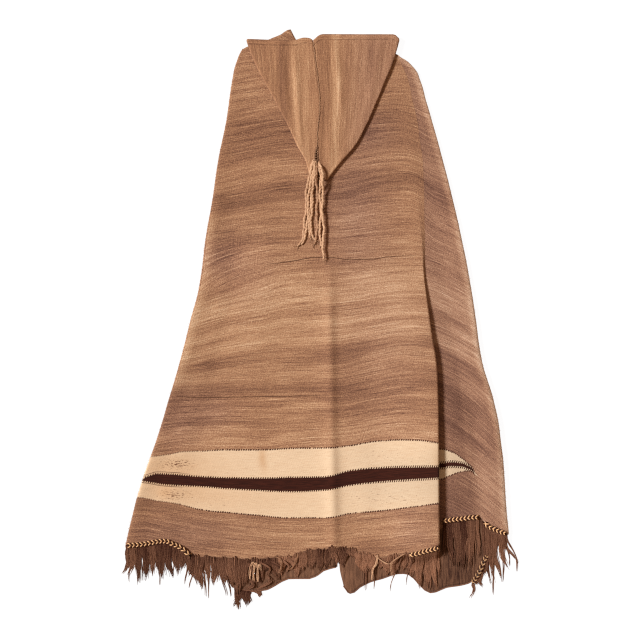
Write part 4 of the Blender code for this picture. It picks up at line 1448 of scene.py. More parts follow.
# %% Yarns along paths
def yarn_template(sides, segments):
    """One straight yarn, one unit long and wide, cut into segments."""
    fresh_selection()
    bpy.ops.mesh.primitive_cylinder_add(vertices=sides, radius=1, depth=1, end_fill_type="TRIFAN")
    yarn = bpy.context.active_object
    bpy.ops.object.mode_set(mode="EDIT")
    bpy.ops.mesh.select_mode(type="EDGE")
    bpy.ops.mesh.select_all(action="DESELECT")
    bpy.ops.object.mode_set(mode="OBJECT")
    for edge in yarn.data.edges:
        ends = [yarn.data.vertices[i].co for i in edge.vertices]
        edge.select = abs(ends[0].z - ends[1].z) > 0.5
    bpy.ops.object.mode_set(mode="EDIT")
    bpy.ops.mesh.subdivide(number_cuts=segments - 1)
    bpy.ops.object.mode_set(mode="OBJECT")
    return yarn


def make_yarns(name, paths, widths, tones, sides=3, flat=1.0):
    """Yarns through the given paths, all with as many points; widths are in mm for each
    point, tones is one number from 0 to 1 for each yarn, and flat is height by width."""
    paths = np.array(paths, float)
    widths = np.broadcast_to(np.array(widths, float), paths.shape[:2])
    count, points = paths.shape[:2]
    yarn = yarn_template(sides, points - 1)
    template = np.array([v.co for v in yarn.data.vertices])
    ring = np.rint((template[:, 2] + 0.5) * (points - 1)).astype(int)
    many = yarn.modifiers.new("many", "ARRAY")
    many.count = count
    many.use_relative_offset = False
    apply_modifiers(yarn)
    steps = np.gradient(paths, axis=1)
    steps /= np.linalg.norm(steps, axis=2, keepdims=True)
    aside = np.cross(steps, (0.0, 0.0, 1.0))
    aside /= np.linalg.norm(aside, axis=2, keepdims=True)
    above = np.cross(aside, steps)
    radius = widths[:, ring, None] / 2
    spots = paths[:, ring] + radius * (template[:, 0, None] * aside[:, ring]
                                       + flat * template[:, 1, None] * above[:, ring])
    spots[..., 1] = NECK_Y - spots[..., 1]
    yarn.data.vertices.foreach_set("co", (spots * MM).ravel())
    yarn.name = name
    add_attribute(yarn, "tone", "FLOAT", np.repeat(tones, len(template)))
    add_attribute(yarn, "along", "FLOAT", np.tile(ring / (points - 1), count))
    yarn.data.update()
    fresh_selection(yarn)
    bpy.ops.object.mode_set(mode="EDIT")
    bpy.ops.mesh.select_all(action="SELECT")
    bpy.ops.mesh.normals_make_consistent(inside=False)
    bpy.ops.object.mode_set(mode="OBJECT")
    bpy.ops.object.shade_smooth()
    print(name, "has", count, "yarns,", len(yarn.data.polygons), "faces")
    return yarn

# %% [markdown]
# Everything on the hems follows them, so the ends of the cloak's zones are kept as lines
# of points. At any x, a hem has a point, a direction that leads out of the cloth, and a
# height. The fringe's tips are tables: how far down they reach, and how far they lean.

# %% The tips of the fringe
TIPS = ("x", "down", "lean", "tone")
FRINGE_BACK_LEFT = (
    TIPS,
    (-489, 1352, -14, 0.26), (-455, 1368, -5, 0.2), (-420, 1356, 2, 0.22),
    (-385, 1372, 3, 0.2), (-350, 1352, 3, 0.14), (-328, 1366, 4, 0.2),
)
FRINGE_BACK_CENTRE = (
    TIPS,
    (-320, 1362, 6, 0.2), (-292, 1392, 4, 0.26), (-262, 1372, 3, 0.34),
    (-235, 1386, 1, 0.24), (-200, 1402, -2, 0.22), (-150, 1380, -2, 0.26),
    # Below, the dark tone at -125 is dark yarn with painted shade of a deep hollow in the fringe.
    (-125, 1362, 1, 0.14), (-100, 1356, 3, 0.8), (-30, 1352, 2, 0.5),
    (10, 1346, -2, 0.2), (40, 1340, -2, 0.34), (70, 1336, 0, 0.3),
    (110, 1346, 2, 0.95), (160, 1350, 3, 0.62), (205, 1346, 3, 0.96),
    (226, 1362, 4, 0.84),
)
FRINGE_BACK_RIGHT = (
    TIPS,
    (230, 1376, 3, 0.66), (262, 1390, 5, 0.8), (300, 1384, 8, 0.68),
)
FRINGE_SIDE_LEFT = (
    TIPS,
    # Below, the dark tone at 316 is dark yarn with painted shade beside the pleat.
    (316, 1334, 2, 0.04), (360, 1334, 2, 0.06), (402, 1326, 4, 0.5),
)
FRINGE_SIDE_RIGHT = (
    TIPS,
    (420, 1396, 17, 0.42), (446, 1366, 18, 0.3), (470, 1346, 30, 0.45),
)
FRINGE_FRONT_LEFT = (
    TIPS,
    (-209, 1440, -6, 0.16), (-190, 1428, -4, 0.2), (-168, 1406, 0, 0.4),
    (-150, 1402, 2, 0.4),
)
FRINGE_FRONT_RIGHT = (
    TIPS,
    (388, 1404, 6, 0.3), (404, 1388, 6, 0.4), (422, 1362, 4, 0.4),
)
print("the fringe hangs", FRINGE_BACK_LEFT[1][1] - BACK_HEM[1][1], "mm down at the left")

# %% The lines of the hems
HEM_STEP = 9  # to each side, for the direction of a hem
hem_left_front, hem_back, hem_side, hem_right_front = cloak_zones(1)
hem_fronts = (sorted(hem_left_front), sorted(hem_right_front))


def on_line(line, x):
    """The point (x, down, z) of a line of points at x; it runs straight on past its ends."""
    i = 0
    while i < len(line) - 2 and line[i + 1][0] < x:
        i += 1
    share = (x - line[i][0]) / (line[i + 1][0] - line[i][0])
    return Vector(line[i]).lerp(Vector(line[i + 1]), share)


def hem_frame(line, x):
    """A hem's point (x, down), its outward direction, and its height at x."""
    point = on_line(line, x)
    step = on_line(line, x + HEM_STEP) - on_line(line, x - HEM_STEP)
    return point.xy, Vector((-step.y, step.x)).normalized(), point.z


def front_below(x, down):
    """Top of the front that a fringe lies on, none past that front's hem."""
    line = hem_fronts[0] if x < 46 else hem_fronts[1]
    near = min(max(x, line[0][0]), line[-1][0])
    past = down - on_line(line, near).y
    return CLOTH * (1 - ease((past - 8) / 22)) * (1 - ease((abs(x - near) - 8) / 16))


def table_below(x, down):
    """What the fronts' own fringe lies on: the table."""
    return 0.0


print("back hem at the middle:", round(on_line(hem_back, 0).y), "mm down")

# %% [markdown]
# The hem of a burnous is bound with cords, twined from brown and cream yarn. Two cords
# lie side by side, each of a dark and a pale ply, and one is twisted the other way to
# the other, so that their pale plies meet in little arrows. Painted arrows would stay
# flat, so each ply is a yarn on a helix of its own.

# %% The hem cords
CORD_WIDTH = 12  # of both cords together
CORD_HEIGHT = 5.6
CORD_TWIST = 10  # along the hem, for one turn of a ply
CORD_STEPS = 10  # for each turn
PLY = 3.5  # width of a ply
PLY_OFFSET = 1.75  # from a cord's middle to a ply's
CORD_OUT = 1.5  # from the hem to the middle of its cords


def cord_line(line, start, end, below, steps):
    """The middle of a hem cord: (x, down, z, outward) at each step."""
    places = []
    for i in range(steps + 1):
        x = mix(start, end, i / steps)
        point, outward, z = hem_frame(line, x)
        middle = point + outward * CORD_OUT
        places.append((middle, outward, max(z + HALF + PLY, below + CORD_HEIGHT / 2 + GAP)))
    return places


def make_hem_cord(name, line, start, end, twist=-1, below=CLOTH, pale=1.0):
    """Two cords side by side, each of two plies, told apart by their tone; with twist 1
    the arrows point to the right, with -1 to the left, and pale is the light ply's tone."""
    length = math.dist(on_line(line, start), on_line(line, end))
    steps = round(length / CORD_TWIST * CORD_STEPS)
    places = cord_line(line, start, end, below, steps)
    paths, tones = [], []
    for side in (-1, 1):
        for ply in (0, 1):
            path = []
            for i, (middle, outward, z) in enumerate(places):
                turn = side * twist * 2 * math.pi * i / CORD_STEPS
                angle = turn + math.pi * ply + math.pi / 2
                away = side * CORD_WIDTH / 4 + PLY_OFFSET * math.cos(angle)
                spot = middle + outward * away
                path.append((spot.x, spot.y, z + PLY_OFFSET * math.sin(angle)))
            paths.append(path)
            tones.append(pale * ply)
    cord = make_yarns(name + "_plies", paths, PLY, tones, sides=6)
    own(cord, "cord_yarn", name)
    return cord


hem_cords = [
    make_hem_cord("hem_cord_back_left", hem_back, -489, -329, 1),
    make_hem_cord("hem_cord_back_right", hem_back, 227, 298),
    make_hem_cord("hem_cord_side_left", hem_side, 314, 402),
    make_hem_cord("hem_cord_side_right", hem_side, 420, 470),
    make_hem_cord("hem_cord_front_right", hem_fronts[1], 386, 424, -1, 0, 0.6),
]

# %% [markdown]
# The fringe is the cloth's own warp ends, cut long and left loose. Over the years they
# have matted into tufts, and each tuft ends in a point. Every yarn therefore starts at
# its own place on the hem and is drawn towards the point of its tuft, with a wave of
# its own. A particle system would comb them all one way, and has no tufts.

# %% The fringe
FRINGE_YARN = 2.7
FRINGE_POINTS = 10
YARNS_PER_MM = 1.3  # that run to the point of a tuft
MAT_PER_MM = 1.3  # that end sooner and close the mat below the hem
TUFT = 19  # from one tuft's point to the next, on average
SHORTER = (0, 0, 8, 16, 24)  # how much shorter a tuft can be
SLIP = 11  # how far up over the hem a yarn can have slipped
STRAY_SHARE = 0.04  # of the yarns are paler
STRAY_TONE = 0.4
ANY_PHASE = 6.28
FRINGE_TAPER = (1.0, 1.0, 1.0, 1.0, 0.95, 0.9, 0.8, 0.68, 0.5, 0.22)
# Locks of their own: from the hem at root to x and down, that many yarns, bulging that
# far to the right on the way and lifted that far off the rest.
LOCKS = (
    ("root", "x", "down", "yarns", "bulge", "lift", "tone"),
    (-476, -488, 1370, 3, 2, 0, 0.25), (-449, -452, 1368, 4, 0, 0, 0.25),
    (-410, -408, 1378, 4, 0, 0, 0.25), (-372, -375, 1358, 3, 2, 0, 0.25),
    (-347, -344, 1376, 4, 7, 0, 0.25), (-338, -334, 1384, 5, 12, 0, 0.25),
    (-300, -292, 1408, 5, 0, 0, 0.25), (-288, -283, 1411, 5, 1, 0, 0.25),
    (-252, -238, 1404, 5, -9, 0, 0.25), (-244, -227, 1406, 5, -4, 0, 0.25),
    (-212, -207, 1440, 9, -3, 0, 0.25), (-188, -178, 1366, 9, 11, 6, 0.3),
    # Below, the lock from -132 is dark yarn with painted shade of that hollow too.
    (-158, -134, 1352, 8, 15, 7, 0.4), (-132, -108, 1350, 8, 14, 6, 0.16),
    (-104, -84, 1344, 8, 11, 7, 0.6), (-84, -62, 1338, 7, 10, 5, 0.6),
    (-50, -56, 1334, 6, -9, 5, 0.5), (30, 40, 1330, 6, 7, 5, 0.5),
    (118, 116, 1390, 6, 0, 0, 0.25), (126, 137, 1387, 3, 3, 0, 0.25),
    (206, 180, 1394, 2, 3, 0, 0.25), (236, 219, 1376, 2, 2, 0, 0.25),
    (436, 440, 1402, 6, 4, 0, 0.25), (452, 466, 1370, 5, 4, 0, 0.25),
    (462, 484, 1330, 4, 3, 0, 0.25), (476, 501, 1344, 4, 4, 0, 0.25),
)


def make_tufts(tips, start, end, length, loft, chance):
    """The tufts of a fringe: where each ends, how it waves, how high it lies, its tone."""
    count = max(2, round(length / TUFT))
    tufts = []
    for i in range(count + 1):
        x = mix(start, end, (i + chance.uniform(-0.35, 0.35)) / count)
        short = chance.choice(SHORTER) * loft
        tufts.append({
            "root": x,
            "tip": Vector((x + read(tips, "lean", x) + chance.uniform(-6, 6),
                           read(tips, "down", x) + chance.uniform(-8, 6) - short)),
            "wave": chance.uniform(0.8, 4.0),
            "phase": chance.uniform(0, ANY_PHASE),
            "height": chance.uniform(0, 5.0) * loft,
            "tone": read(tips, "tone", x) + chance.gauss(0, 0.13) - 0.06,
        })
    return tufts


def fringe_yarn(line, x, tuft, offset, below, share, gather, chance):
    """A path from the hem at x to share of the way to the tuft's point. It hangs straight
    at first, and is then gathered towards that point. Where no cord covers the hem, some
    yarns have slipped up over its edge."""
    point, outward, z = hem_frame(line, x)
    slip = SLIP * noise.noise(Vector((x / 13, 0, 6.6))) + chance.uniform(-4, 5)
    slipped = offset < 0 and slip > 0 and chance.random() < 0.5
    root = point + outward * (offset - slip * slipped)
    aim = tuft["tip"] + Vector((chance.gauss(0, 1.3), chance.gauss(0, 2)))
    aim.x = mix(root.x + (aim.x - tuft["root"]), aim.x, gather)
    own_wave, own_phase = chance.uniform(0.3, 1.5), chance.uniform(0, ANY_PHASE)
    lift = tuft["height"] + chance.uniform(0, 2.2)
    path = []
    for i in range(FRINGE_POINTS):
        t = share * i / (FRINGE_POINTS - 1)
        x_here = mix(root.x, aim.x, mix(t, ease((t - 0.45) / 0.65), 0.75))
        down = mix(root.y, aim.y, t)
        x_here += tuft["wave"] * math.sin(tuft["phase"] + 6.5 * t) * ease(t * 2.2)
        x_here += own_wave * math.sin(own_phase + 13 * t) * ease(t * 4)
        rest = below(x_here, down) + FRINGE_YARN * 0.4 + lift * (1 - 0.55 * t)
        start = z + HALF + 1.2 if slipped else z - 0.4 + 0.2 * lift
        path.append((x_here, down, mix(start, rest, ease(t * (2.4 if slipped else 3.2)))))
    return path


def lock_yarn(line, lock, offset, below, chance):
    """A path of one yarn of a lock."""
    root_x, end_x, end_down, yarns, bulge, lift, _ = lock
    point, outward, z = hem_frame(line, root_x + chance.uniform(-0.9, 0.9) * yarns)
    root = point + outward * offset
    end_x += chance.gauss(0, 0.25 * yarns)
    end_down -= abs(chance.gauss(0, 5))
    wave, phase = chance.uniform(0.2, 0.9), chance.uniform(0, ANY_PHASE)
    path = []
    for i in range(FRINGE_POINTS):
        t = i / (FRINGE_POINTS - 1)
        x_here = mix(root.x, end_x, ease(t * 1.15)) + bulge * math.sin(math.pi * t) ** 2
        x_here += wave * math.sin(phase + 11 * t)
        down = mix(root.y, end_down, t)
        rest = below(x_here, down) + FRINGE_YARN * 0.5 + 2.2 * (1 - t)
        rest += lift * math.sin(math.pi * t)
        path.append((x_here, down, mix(z, rest, ease(t * 2.5))))
    return path


UNDER_CORD = 3.0  # from the hem to a root that a cord covers


def make_fringe(name, nodes, line, tips, start, end, mat, loft=1.0, offset=UNDER_CORD,
                below=front_below):
    """A fringe along a hem from x start to x end; tips says where its tufts end, mat how
    far down towards them the yarns lie close, and loft how unevenly they lie."""
    chance = random.Random(name)
    length = math.dist(hem_frame(line, start)[0], hem_frame(line, end)[0])
    tufts = make_tufts(tips, start, end, length, loft, chance)
    paths, tones = [], []
    for per_mm, shortest, longest, gather in (
        (YARNS_PER_MM, 0.74, 1.0, 0.9),
        (MAT_PER_MM, 0.6 * mat, mat, 0.15),
    ):
        count = round(length * per_mm)
        for i in range(count):
            x = mix(start, end, (i + chance.uniform(-0.3, 1.3)) / count)
            tuft = min(tufts, key=lambda t: abs(t["root"] - x + chance.uniform(-4, 4)))
            share = chance.uniform(shortest, longest)
            paths.append(fringe_yarn(line, x, tuft, offset, below, share, gather, chance))
            stray = STRAY_TONE if chance.random() < STRAY_SHARE else 0.0
            tones.append(min(max(tuft["tone"] + stray + chance.gauss(0, 0.09), 0), 1))
    for lock in LOCKS[1:]:
        if start <= lock[0] <= end:
            for _ in range(lock[3]):
                paths.append(lock_yarn(line, lock, offset, below, chance))
                tones.append(min(max(lock[-1] + chance.gauss(0, 0.1), 0), 1))
    widths = FRINGE_YARN * np.array(FRINGE_TAPER)
    fringe = make_yarns(name, paths, widths, tones)
    own(fringe, "fringe_wool", *nodes)
    return fringe


CENTRE_NODES = [f"fringe_back_centre_{i}" for i in range(1, 5)]
fringes = [
    make_fringe("left_fringe", ["fringe_back_left"], hem_back, FRINGE_BACK_LEFT,
                -494, -330, 0.97, 0.5),
    make_fringe("centre_fringe", CENTRE_NODES, hem_back, FRINGE_BACK_CENTRE,
                -328, 228, 0.9, offset=-1.0),
    make_fringe("right_fringe", ["fringe_back_right"], hem_back, FRINGE_BACK_RIGHT,
                228, 302, 0.9),
    make_fringe("side_fringe_left", ["fringe_side_left"], hem_side, FRINGE_SIDE_LEFT,
                312, 406, 0.96),
    make_fringe("side_fringe_right", ["fringe_side_right"], hem_side, FRINGE_SIDE_RIGHT,
                414, 476, 0.6),
    make_fringe("front_fringe_left", ["fringe_front_left"], hem_fronts[0], FRINGE_FRONT_LEFT,
                -214, -150, 0.8, offset=0.0, below=table_below),
    make_fringe("front_fringe_right", ["fringe_front_right"], hem_fronts[1],
                FRINGE_FRONT_RIGHT, 386, 424, 0.8, below=table_below),
]

# %% [markdown]
# A few pale yarns have worked out of the hem, each of three loose plies. Such a yarn goes
# its own way, so it is given by the spots that it runs through, and a smooth curve joins
# them.

# %% Loose pale yarns
LOOSE_YARNS = (
    ((-178, 1360), (-178, 1342), (-175, 1324), (-170, 1316), (-167, 1330)),
    ((-168, 1364), (-169, 1346), (-167, 1328), (-162, 1318), (-159, 1332)),
    ((-158, 1366), (-158, 1348), (-158, 1332), (-153, 1322), (-150, 1338)),
    ((-118, 1302), (-104, 1306), (-97, 1316), (-99, 1330), (-104, 1344)),
    ((-56, 1296), (-60, 1310), (-67, 1326), (-76, 1336)),
    ((146, 1298), (142, 1322), (134, 1336), (132, 1362)),
    ((141, 1300), (156, 1312), (172, 1320), (184, 1318)),
    ((218, 1292), (200, 1302), (184, 1316), (180, 1330), (184, 1352)),
)
LOOSE_TONES = (0.5, 0.7, 0.6, 0.0, 0.0, 0.7, 0.5, 0.3)
LOOSE_PLIES = 3
LOOSE_PLY = 2.0
LOOSE_SPREAD = 1.7  # from one ply to the next
LOOSE_POINTS = 22


def smooth_line(spots, count):
    """count points on a smooth curve through the spots."""
    spots = [Vector(spot) for spot in spots]
    ends = [2 * spots[0] - spots[1]] + spots + [2 * spots[-1] - spots[-2]]
    line = []
    for i in range(count):
        way = i / (count - 1) * (len(spots) - 1)
        k = min(int(way), len(spots) - 2)
        t = way - k
        a, b, c, d = ends[k:k + 4]
        line.append(b + (c - a) * (t / 2) + (2 * a - 5 * b + 4 * c - d) * (t * t / 2)
                    + (3 * b - 3 * c + d - a) * (t ** 3 / 2))
    return line


def make_loose_yarns():
    chance = random.Random("loose yarns")
    paths, tones = [], []
    for spots, tone in zip(LOOSE_YARNS, LOOSE_TONES):
        for ply in range(LOOSE_PLIES):
            aside = (ply - 1) * LOOSE_SPREAD
            phase = chance.uniform(0, ANY_PHASE)
            path = []
            for i, (x, down) in enumerate(smooth_line(spots, LOOSE_POINTS)):
                hem = on_line(hem_back, x)
                on_back = back_height(x, down) + HALF + 1.4
                z = mix(on_back, hem.z + 5, ease((down - hem.y + 8) / 16))
                turn = phase + i * 0.5
                path.append((x + aside + 0.7 * math.sin(turn), down, z + 0.5 * math.cos(turn)))
            paths.append(path)
            tones.append(tone + chance.gauss(0, 0.12))
    taper = np.interp(np.linspace(0, 1, LOOSE_POINTS), [0, 0.1, 0.8, 1], [0.6, 1, 0.9, 0.4])
    widths = LOOSE_PLY * taper
    loose = make_yarns("loose_yarns", paths, widths, tones, sides=5)
    own(loose, "tassel_yarn")
    return loose


loose_yarns = make_loose_yarns()

# %% [markdown]
# The tassel at the hood's tip is a handful of thick cords. Two plies that turn round
# each other make each cord, and it hangs with a slow wave, since the twist never sits
# quite even. The ends have come open, so each cord ends in a brush of thin fibres. They
# lie over the hood's tip and on to the back.

# %% The tassel
TASSEL_YARN = 4.6  # room that a cord takes above what it lies on
TASSEL_PLY = 5.6
TASSEL_FLAT = 0.62  # a soft cord's height, by its width
TASSEL_TWIST = 17  # along a cord, for one turn
TASSEL_TONE = 0.13  # how far a cord's plies differ from its tone
TASSEL_POINTS = 110
TASSEL_DOWNS = (298, 345, 395, 445, 485)
# How far down each cord comes out of the hood, its x at those places, where it ends,
# how high it lies on the others, and its tone.
TASSEL_CORDS = (
    ("start", "x1", "x2", "x3", "x4", "x5", "end_x", "end_down", "above", "tone"),
    (298, -19, -29, -35, -38, -43, -56, 513, 0.0, 0.55),
    (294, -17, -24, -29, -32, -36, -49, 509, 1.0, 0.66),
    (292, -14, -19, -23, -26, -28, -25, 491, 0.4, 0.7),
    (296, -12, -16, -19, -22, -20, -13, 499, 1.4, 0.6),
    (301, -8, -9, -7, -8, -9, -12, 508, 0.0, 0.3),
    (304, -4, 1, 1, 2, 0, 2, 513, 1.6, 0.62),
    (299, -4, 8, 6, 8, 9, 8, 546, 11.0, 0.7),
)
TASSEL_BRUSH = 9  # fibres at the end of each cord
BRUSH_POINTS = 8


def tassel_height(x, down):
    """Middle of a strand: on the hood, then past its tip down to the back."""
    tip = HOOD[-1][0]
    on_hood = hood_over(x, min(down, tip)) + HALF + TASSEL_YARN / 2
    on_back = back_height(x, down) + HALF + TASSEL_YARN / 2
    return mix(on_hood, on_back, ease((down - tip - 4) / 34))


def tassel_line(row, chance):
    """The middle line of one cord, from where it comes out to its end."""
    start, *places, end_x, end_down, above, _ = row
    course = (("down", "x"), *zip(TASSEL_DOWNS, places), (end_down, end_x))
    phase = chance.uniform(0, ANY_PHASE)
    line = []
    for i in range(TASSEL_POINTS):
        down = mix(start, end_down, i / (TASSEL_POINTS - 1))
        free = ease((down - start) / 22)
        x = read(course, "x", down) + 1.5 * math.sin(phase + down / 13) * free
        x += 0.7 * math.sin(2.3 * phase + down / 5.3) * free
        z = tassel_height(x, down) + 0.55 * above * free + 0.4 * math.sin(down / 9 + phase)
        z -= 4 * (1 - free)
        line.append((x, down, z))
    return line


def two_plies(line, way):
    """The paths of two plies that turn round a line; way is 1 or -1 for its twist."""
    return [
        [
            (x + math.cos(turn), down, z + TASSEL_FLAT * math.sin(turn))
            for x, down, z in line
            for turn in (2 * math.pi * way * down / TASSEL_TWIST + math.pi * ply,)
        ]
        for ply in (0, 1)
    ]


def brush(end, before, chance):
    """Thin fibres that spread from a cord's end, on in its direction."""
    run_x, run_down = (end[i] - before[i] for i in (0, 1))
    heading = math.atan2(run_x, run_down)
    paths = []
    for _ in range(TASSEL_BRUSH):
        turn, bend = heading + chance.gauss(0, 0.3), chance.gauss(0, 0.05)
        reach = chance.uniform(7, 20)
        x, down, z = end[0] + chance.gauss(0, 1.2), end[1] - 5, end[2]
        path = []
        for i in range(BRUSH_POINTS):
            path.append((x, down, max(z - 0.35 * i, back_height(x, down) + HALF + 0.5)))
            x += reach / BRUSH_POINTS * math.sin(turn)
            down += reach / BRUSH_POINTS * math.cos(turn)
            turn += bend
        paths.append(path)
    return paths


def make_tassel():
    chance = random.Random("tassel")
    cords, fibres, tones, fibre_tones = [], [], [], []
    for i, row in enumerate(TASSEL_CORDS[1:]):
        line = tassel_line(row, chance)
        tone = row[-1]
        cords += two_plies(line, 1 if i % 2 else -1)
        tones += [tone - TASSEL_TONE, tone + TASSEL_TONE]
        ends = brush(line[-1], line[-8], chance)
        fibres += ends
        fibre_tones += [tone + chance.gauss(0, 0.12) for _ in ends]
    taper = np.interp(np.linspace(0, 1, TASSEL_POINTS), [0, 0.92, 1], [1, 1, 0.55])
    tassel = make_yarns("tassel_cords", cords, TASSEL_PLY * taper, tones, 7, TASSEL_FLAT)
    own(tassel, "tassel_yarn", "hood_tassel")
    taper = np.linspace(1.5, 0.5, BRUSH_POINTS)
    brushes = make_yarns("tassel_ends", fibres, taper, fibre_tones)
    own(brushes, "tassel_yarn")
    return [tassel, brushes]


tassel = make_tassel()

# %% [markdown]
# The hood's seam is closed with a thick yarn, worked over and over along the edge, and
# where the seam opens at the tip a dark yarn laces it shut. Two old creases cross the
# back as well, and a dark yarn along each is the painted shadow in its fold. All of
# these are yarns on a path.

# %% Seam, lacing and crease shadows
SEAM_YARN = 2.9
SEAM_ENDS = (-4, 268)
SEAM_STEP = 0.9
SEAM_TWIST = 15
LACE_YARN = 1.9
LACE_TOP = 262
LACE_PITCH = 6.2  # from one pair of stitches to the next, six in all
LACE_REACH = 3.2  # how far into the cloth a stitch starts
LACE_ENDS = (296, 388)  # the two ends hang from here to here
LACE_POINTS = 7
CREASE_SHADOW_YARN = 2.3
CREASE_POINTS = 120
CREASE_UPPER = (
    (-135, 559), (-60, 549), (0, 541), (24, 541),
    (68, 546), (126, 546), (170, 540), (243, 536),
)
CREASE_LOWER = ((-366, 895), (-300, 898), (-200, 896), (-60, 894), (24, 893))


def make_seam():
    """Two plies turning round the seam, from the brim to where it opens."""
    downs = np.arange(*SEAM_ENDS, SEAM_STEP)
    plies = []
    for ply in (0, 1):
        path = []
        for down in downs:
            turn = 2 * math.pi * down / SEAM_TWIST + math.pi * ply
            x = read(HOOD, "seam", down) + 1.5 * noise.noise(Vector((down / 13, 0, 9.1)))
            z = hood_over(x, down) + HALF - 0.1
            path.append((x + 0.5 * math.cos(turn), down, z + 0.3 * math.sin(turn)))
        plies.append(path)
    seam = make_yarns("hood_seam", plies, SEAM_YARN, [0.36, 0.46], sides=6)
    own(seam, "hood_wool")
    return seam


def make_lacing():
    """Crossed stitches over the opening at the hood's tip, and their ends, which hang out."""
    stitches = []
    for i in range(6):
        down = LACE_TOP + LACE_PITCH * i
        seam = read(HOOD, "seam", down)
        reach = read(HOOD, "gap", down) / 2 + LACE_REACH
        for side in (-1, 1):
            path = []
            for k in range(LACE_POINTS):
                across = -1 + k / 3
                x = seam + side * reach * across
                rise = 0.3 + 0.96 * (1 - across ** 2)
                path.append((x, down + 3.4 * k / 6, hood_over(x, down) + HALF + rise))
            stitches.append(path)
    for aside in (-1.5, 1.5):
        path = []
        for k in range(LACE_POINTS):
            down = mix(*LACE_ENDS, k / 6)
            x = mix(-9, -6, k / 6) + aside * math.cos(2.2 * k)
            path.append((x, down, tassel_height(x, down) - 1.2))
        stitches.append(path)
    tones = [0.24] * (len(stitches) - 2) + [0.35, 0.45]
    lacing = make_yarns("hood_lacing", stitches, LACE_YARN, tones, sides=5)
    own(lacing, "hood_wool")
    return lacing


def make_crease_shadow(name, spots):
    """A dark yarn along the given (x, down) spots: the painted shadow line of a crease."""
    course = (("x", "down"), *spots)
    path = []
    for x in np.linspace(spots[0][0], spots[-1][0], CREASE_POINTS):
        down = read(course, "down", x) + 0.8 * noise.noise(Vector((x / 14, 0, 4.4)))
        cloth = back_height(x, down) + centre_crease(x, down) + ripples(x, down)
        path.append((x, down, cloth + HALF + 0.1))
    taper = np.interp(np.linspace(0, 1, CREASE_POINTS), [0, 0.1, 0.8, 1], [0.3, 1, 0.8, 0.2])
    crease = make_yarns(name, [path], CREASE_SHADOW_YARN * taper, [0.14], sides=5)
    own(crease, "body_wool")
    return crease


seam = make_seam()
lacing = make_lacing()
crease_shadows = [
    make_crease_shadow("crease_upper_shadow", CREASE_UPPER),
    make_crease_shadow("crease_lower_shadow", CREASE_LOWER),
]

# %% [markdown]
# The fronts end in a hem that was rolled under and sewn, and it shows below the back as
# a thin round edge. It is one thick yarn along each front's hem.

# %% Rolled hems of the fronts
ROLL = 3.4  # its width
ROLL_STEPS = 6  # from one point of the hem to the next


def make_rolled_hem(name, line):
    path = [(x, down + 0.3, ROLL / 2 + 0.1) for x, down, _ in line]
    fine = [
        [mix(a, b, k / ROLL_STEPS) for a, b in zip(start, end)]
        for start, end in zip(path, path[1:])
        for k in range(ROLL_STEPS)
    ]
    roll = make_yarns(name, [fine], ROLL, [0.3], sides=8)
    own(roll, "body_wool")
    return roll


rolls = [
    make_rolled_hem("rolled_hem_left", hem_fronts[0]),
    make_rolled_hem("rolled_hem_right", hem_fronts[1]),
]

# %% [markdown]
# Handspun wool is never clean at its edges. Short fibres stand out from every fold, and
# against a pale table they make the outline soft and bright. They are thin yarns too,
# a few millimetres long, that lean out from the two side folds.

# %% Fuzz along the folds
FUZZ = 0.34  # width of a fibre
FUZZ_TAPER = (1, 1, 0.8, 0.4)
FUZZ_PER_MM = 1.8
FUZZ_DEPTH = 0.3  # how far inside the fold a fibre starts


def fold_fuzz(table, side, low, high, chance):
    """Fibres along a fold of a table from down low to high; side is -1 left, 1 right."""
    paths = []
    for _ in range(round((high - low) * FUZZ_PER_MM)):
        down = chance.uniform(low, high)
        radius = read(table, "height", down) / 2
        turn = chance.uniform(0.15, 1.3)
        reach = chance.uniform(1.2, 4.2) * chance.uniform(0.5, 1)
        slant, curl = chance.gauss(0, 0.5), chance.gauss(0, 0.25)
        x = read(table, "x", down) - side * (radius - (radius - FUZZ_DEPTH) * math.sin(turn))
        z = radius + HALF + (radius - FUZZ_DEPTH) * math.cos(turn)
        path = []
        for k in range(4):
            out = reach * k / 3
            path.append((x + side * out * math.sin(turn + curl * k / 3),
                         down + out * slant, z + out * 0.5 * math.cos(turn)))
        paths.append(path)
    return paths


def make_cloak_fuzz():
    chance = random.Random("cloak fuzz")
    paths = fold_fuzz(LEFT_FOLD, -1, 16, 1270, chance)
    paths += fold_fuzz(RIGHT_FOLD, 1, 30, 1240, chance)
    shades = random.Random("cloak_fuzz")
    tones = [shades.uniform(0.3, 1) for _ in paths]
    fuzz = make_yarns("cloak_fuzz", paths, FUZZ * np.array(FUZZ_TAPER), tones)
    own(fuzz, "body_wool")
    return fuzz


cloak_fuzz = make_cloak_fuzz()

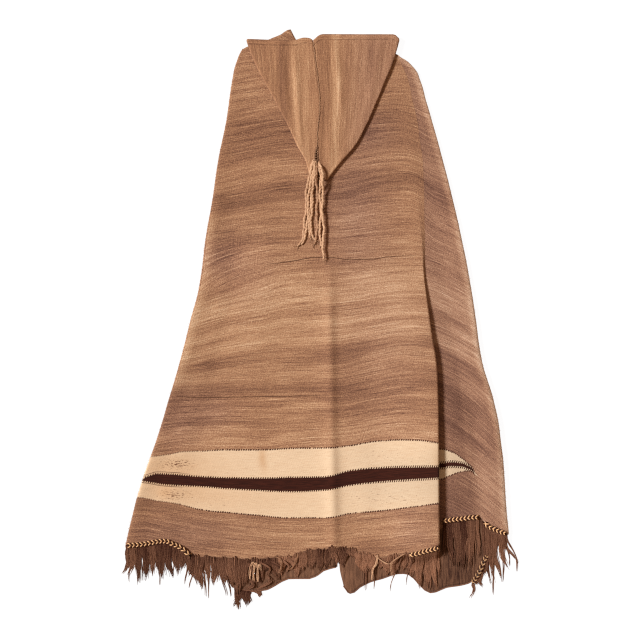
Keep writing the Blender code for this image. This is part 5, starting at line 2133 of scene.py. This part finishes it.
# %% [markdown]
# Yarn takes its colour from its own tone: every yarn of the fringe was spun apart, so
# each has a shade of its own, and fine noise along it stands for the fibres. The cords
# use the same tone to tell their dark plies from the pale ones.

# %% Yarn finishes
YARN_RELIEF = 0.6  # depth of a yarn's fibres, in mm


def make_yarn_finish(name, dark, pale, spread=0.5, tips=0.0):
    """A finish that runs from dark to pale with each yarn's tone; tips is how much paler
    the yarns' free ends are."""
    material, tree, surface = start_finish(name, sheen=0.0)
    place = add_node(tree, "TexCoord").outputs["Object"]
    fibre = swing(tree, cloud(tree, place, 420.0, 3.0), spread)
    tone = plus(tree, attribute(tree, "tone"), fibre)
    share = plus(tree, tone, times(tree, attribute(tree, "along"), tips), clamp=True)
    tree.links.new(mixed(tree, share, dark, pale), surface.inputs["Base Color"])
    add_relief(tree, surface, cloud(tree, place, 1400.0, 2.0), YARN_RELIEF)
    return material


fringe_finish = make_yarn_finish("fringe yarn", colour(66, 31, 20), colour(178, 127, 97),
                                 0.4, 0.22)
cord_finish = make_yarn_finish("cord yarn", colour(66, 34, 24), colour(238, 188, 138), 0.3)
tassel_finish = make_yarn_finish("tassel yarn", colour(150, 106, 78), colour(232, 187, 148), 0.5)
seam_and_shadow_finish = make_yarn_finish("sewing and shadow yarn", colour(84, 50, 36), colour(216, 168, 128), 0.4)
for pieces, finish in (
    (fringes, fringe_finish),
    (hem_cords, cord_finish),
    ([*tassel, loose_yarns], tassel_finish),
    ([seam, lacing, *crease_shadows], seam_and_shadow_finish),
    (rolls, fringe_finish),
    ([cloak_fuzz], tassel_finish),
):
    print(finish.name, "on", len(pieces), "pieces")
    for piece in pieces:
        piece.data.materials.append(finish)

# %% [markdown]
# Last, the two sheets are declared with the size they were cut to. The cloak opens to a
# half disc, and the hood to a rectangle that is folded once.

# %% [markdown]
# The cloak opens to a half disc, and the hood to a rectangle that is folded once.

# %% Sizes and the end
visual_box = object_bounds()
for label, low, high in (("cad", *cad_box), ("visual", *visual_box)):
    print(label, [round(s, 4) for s in high - low])
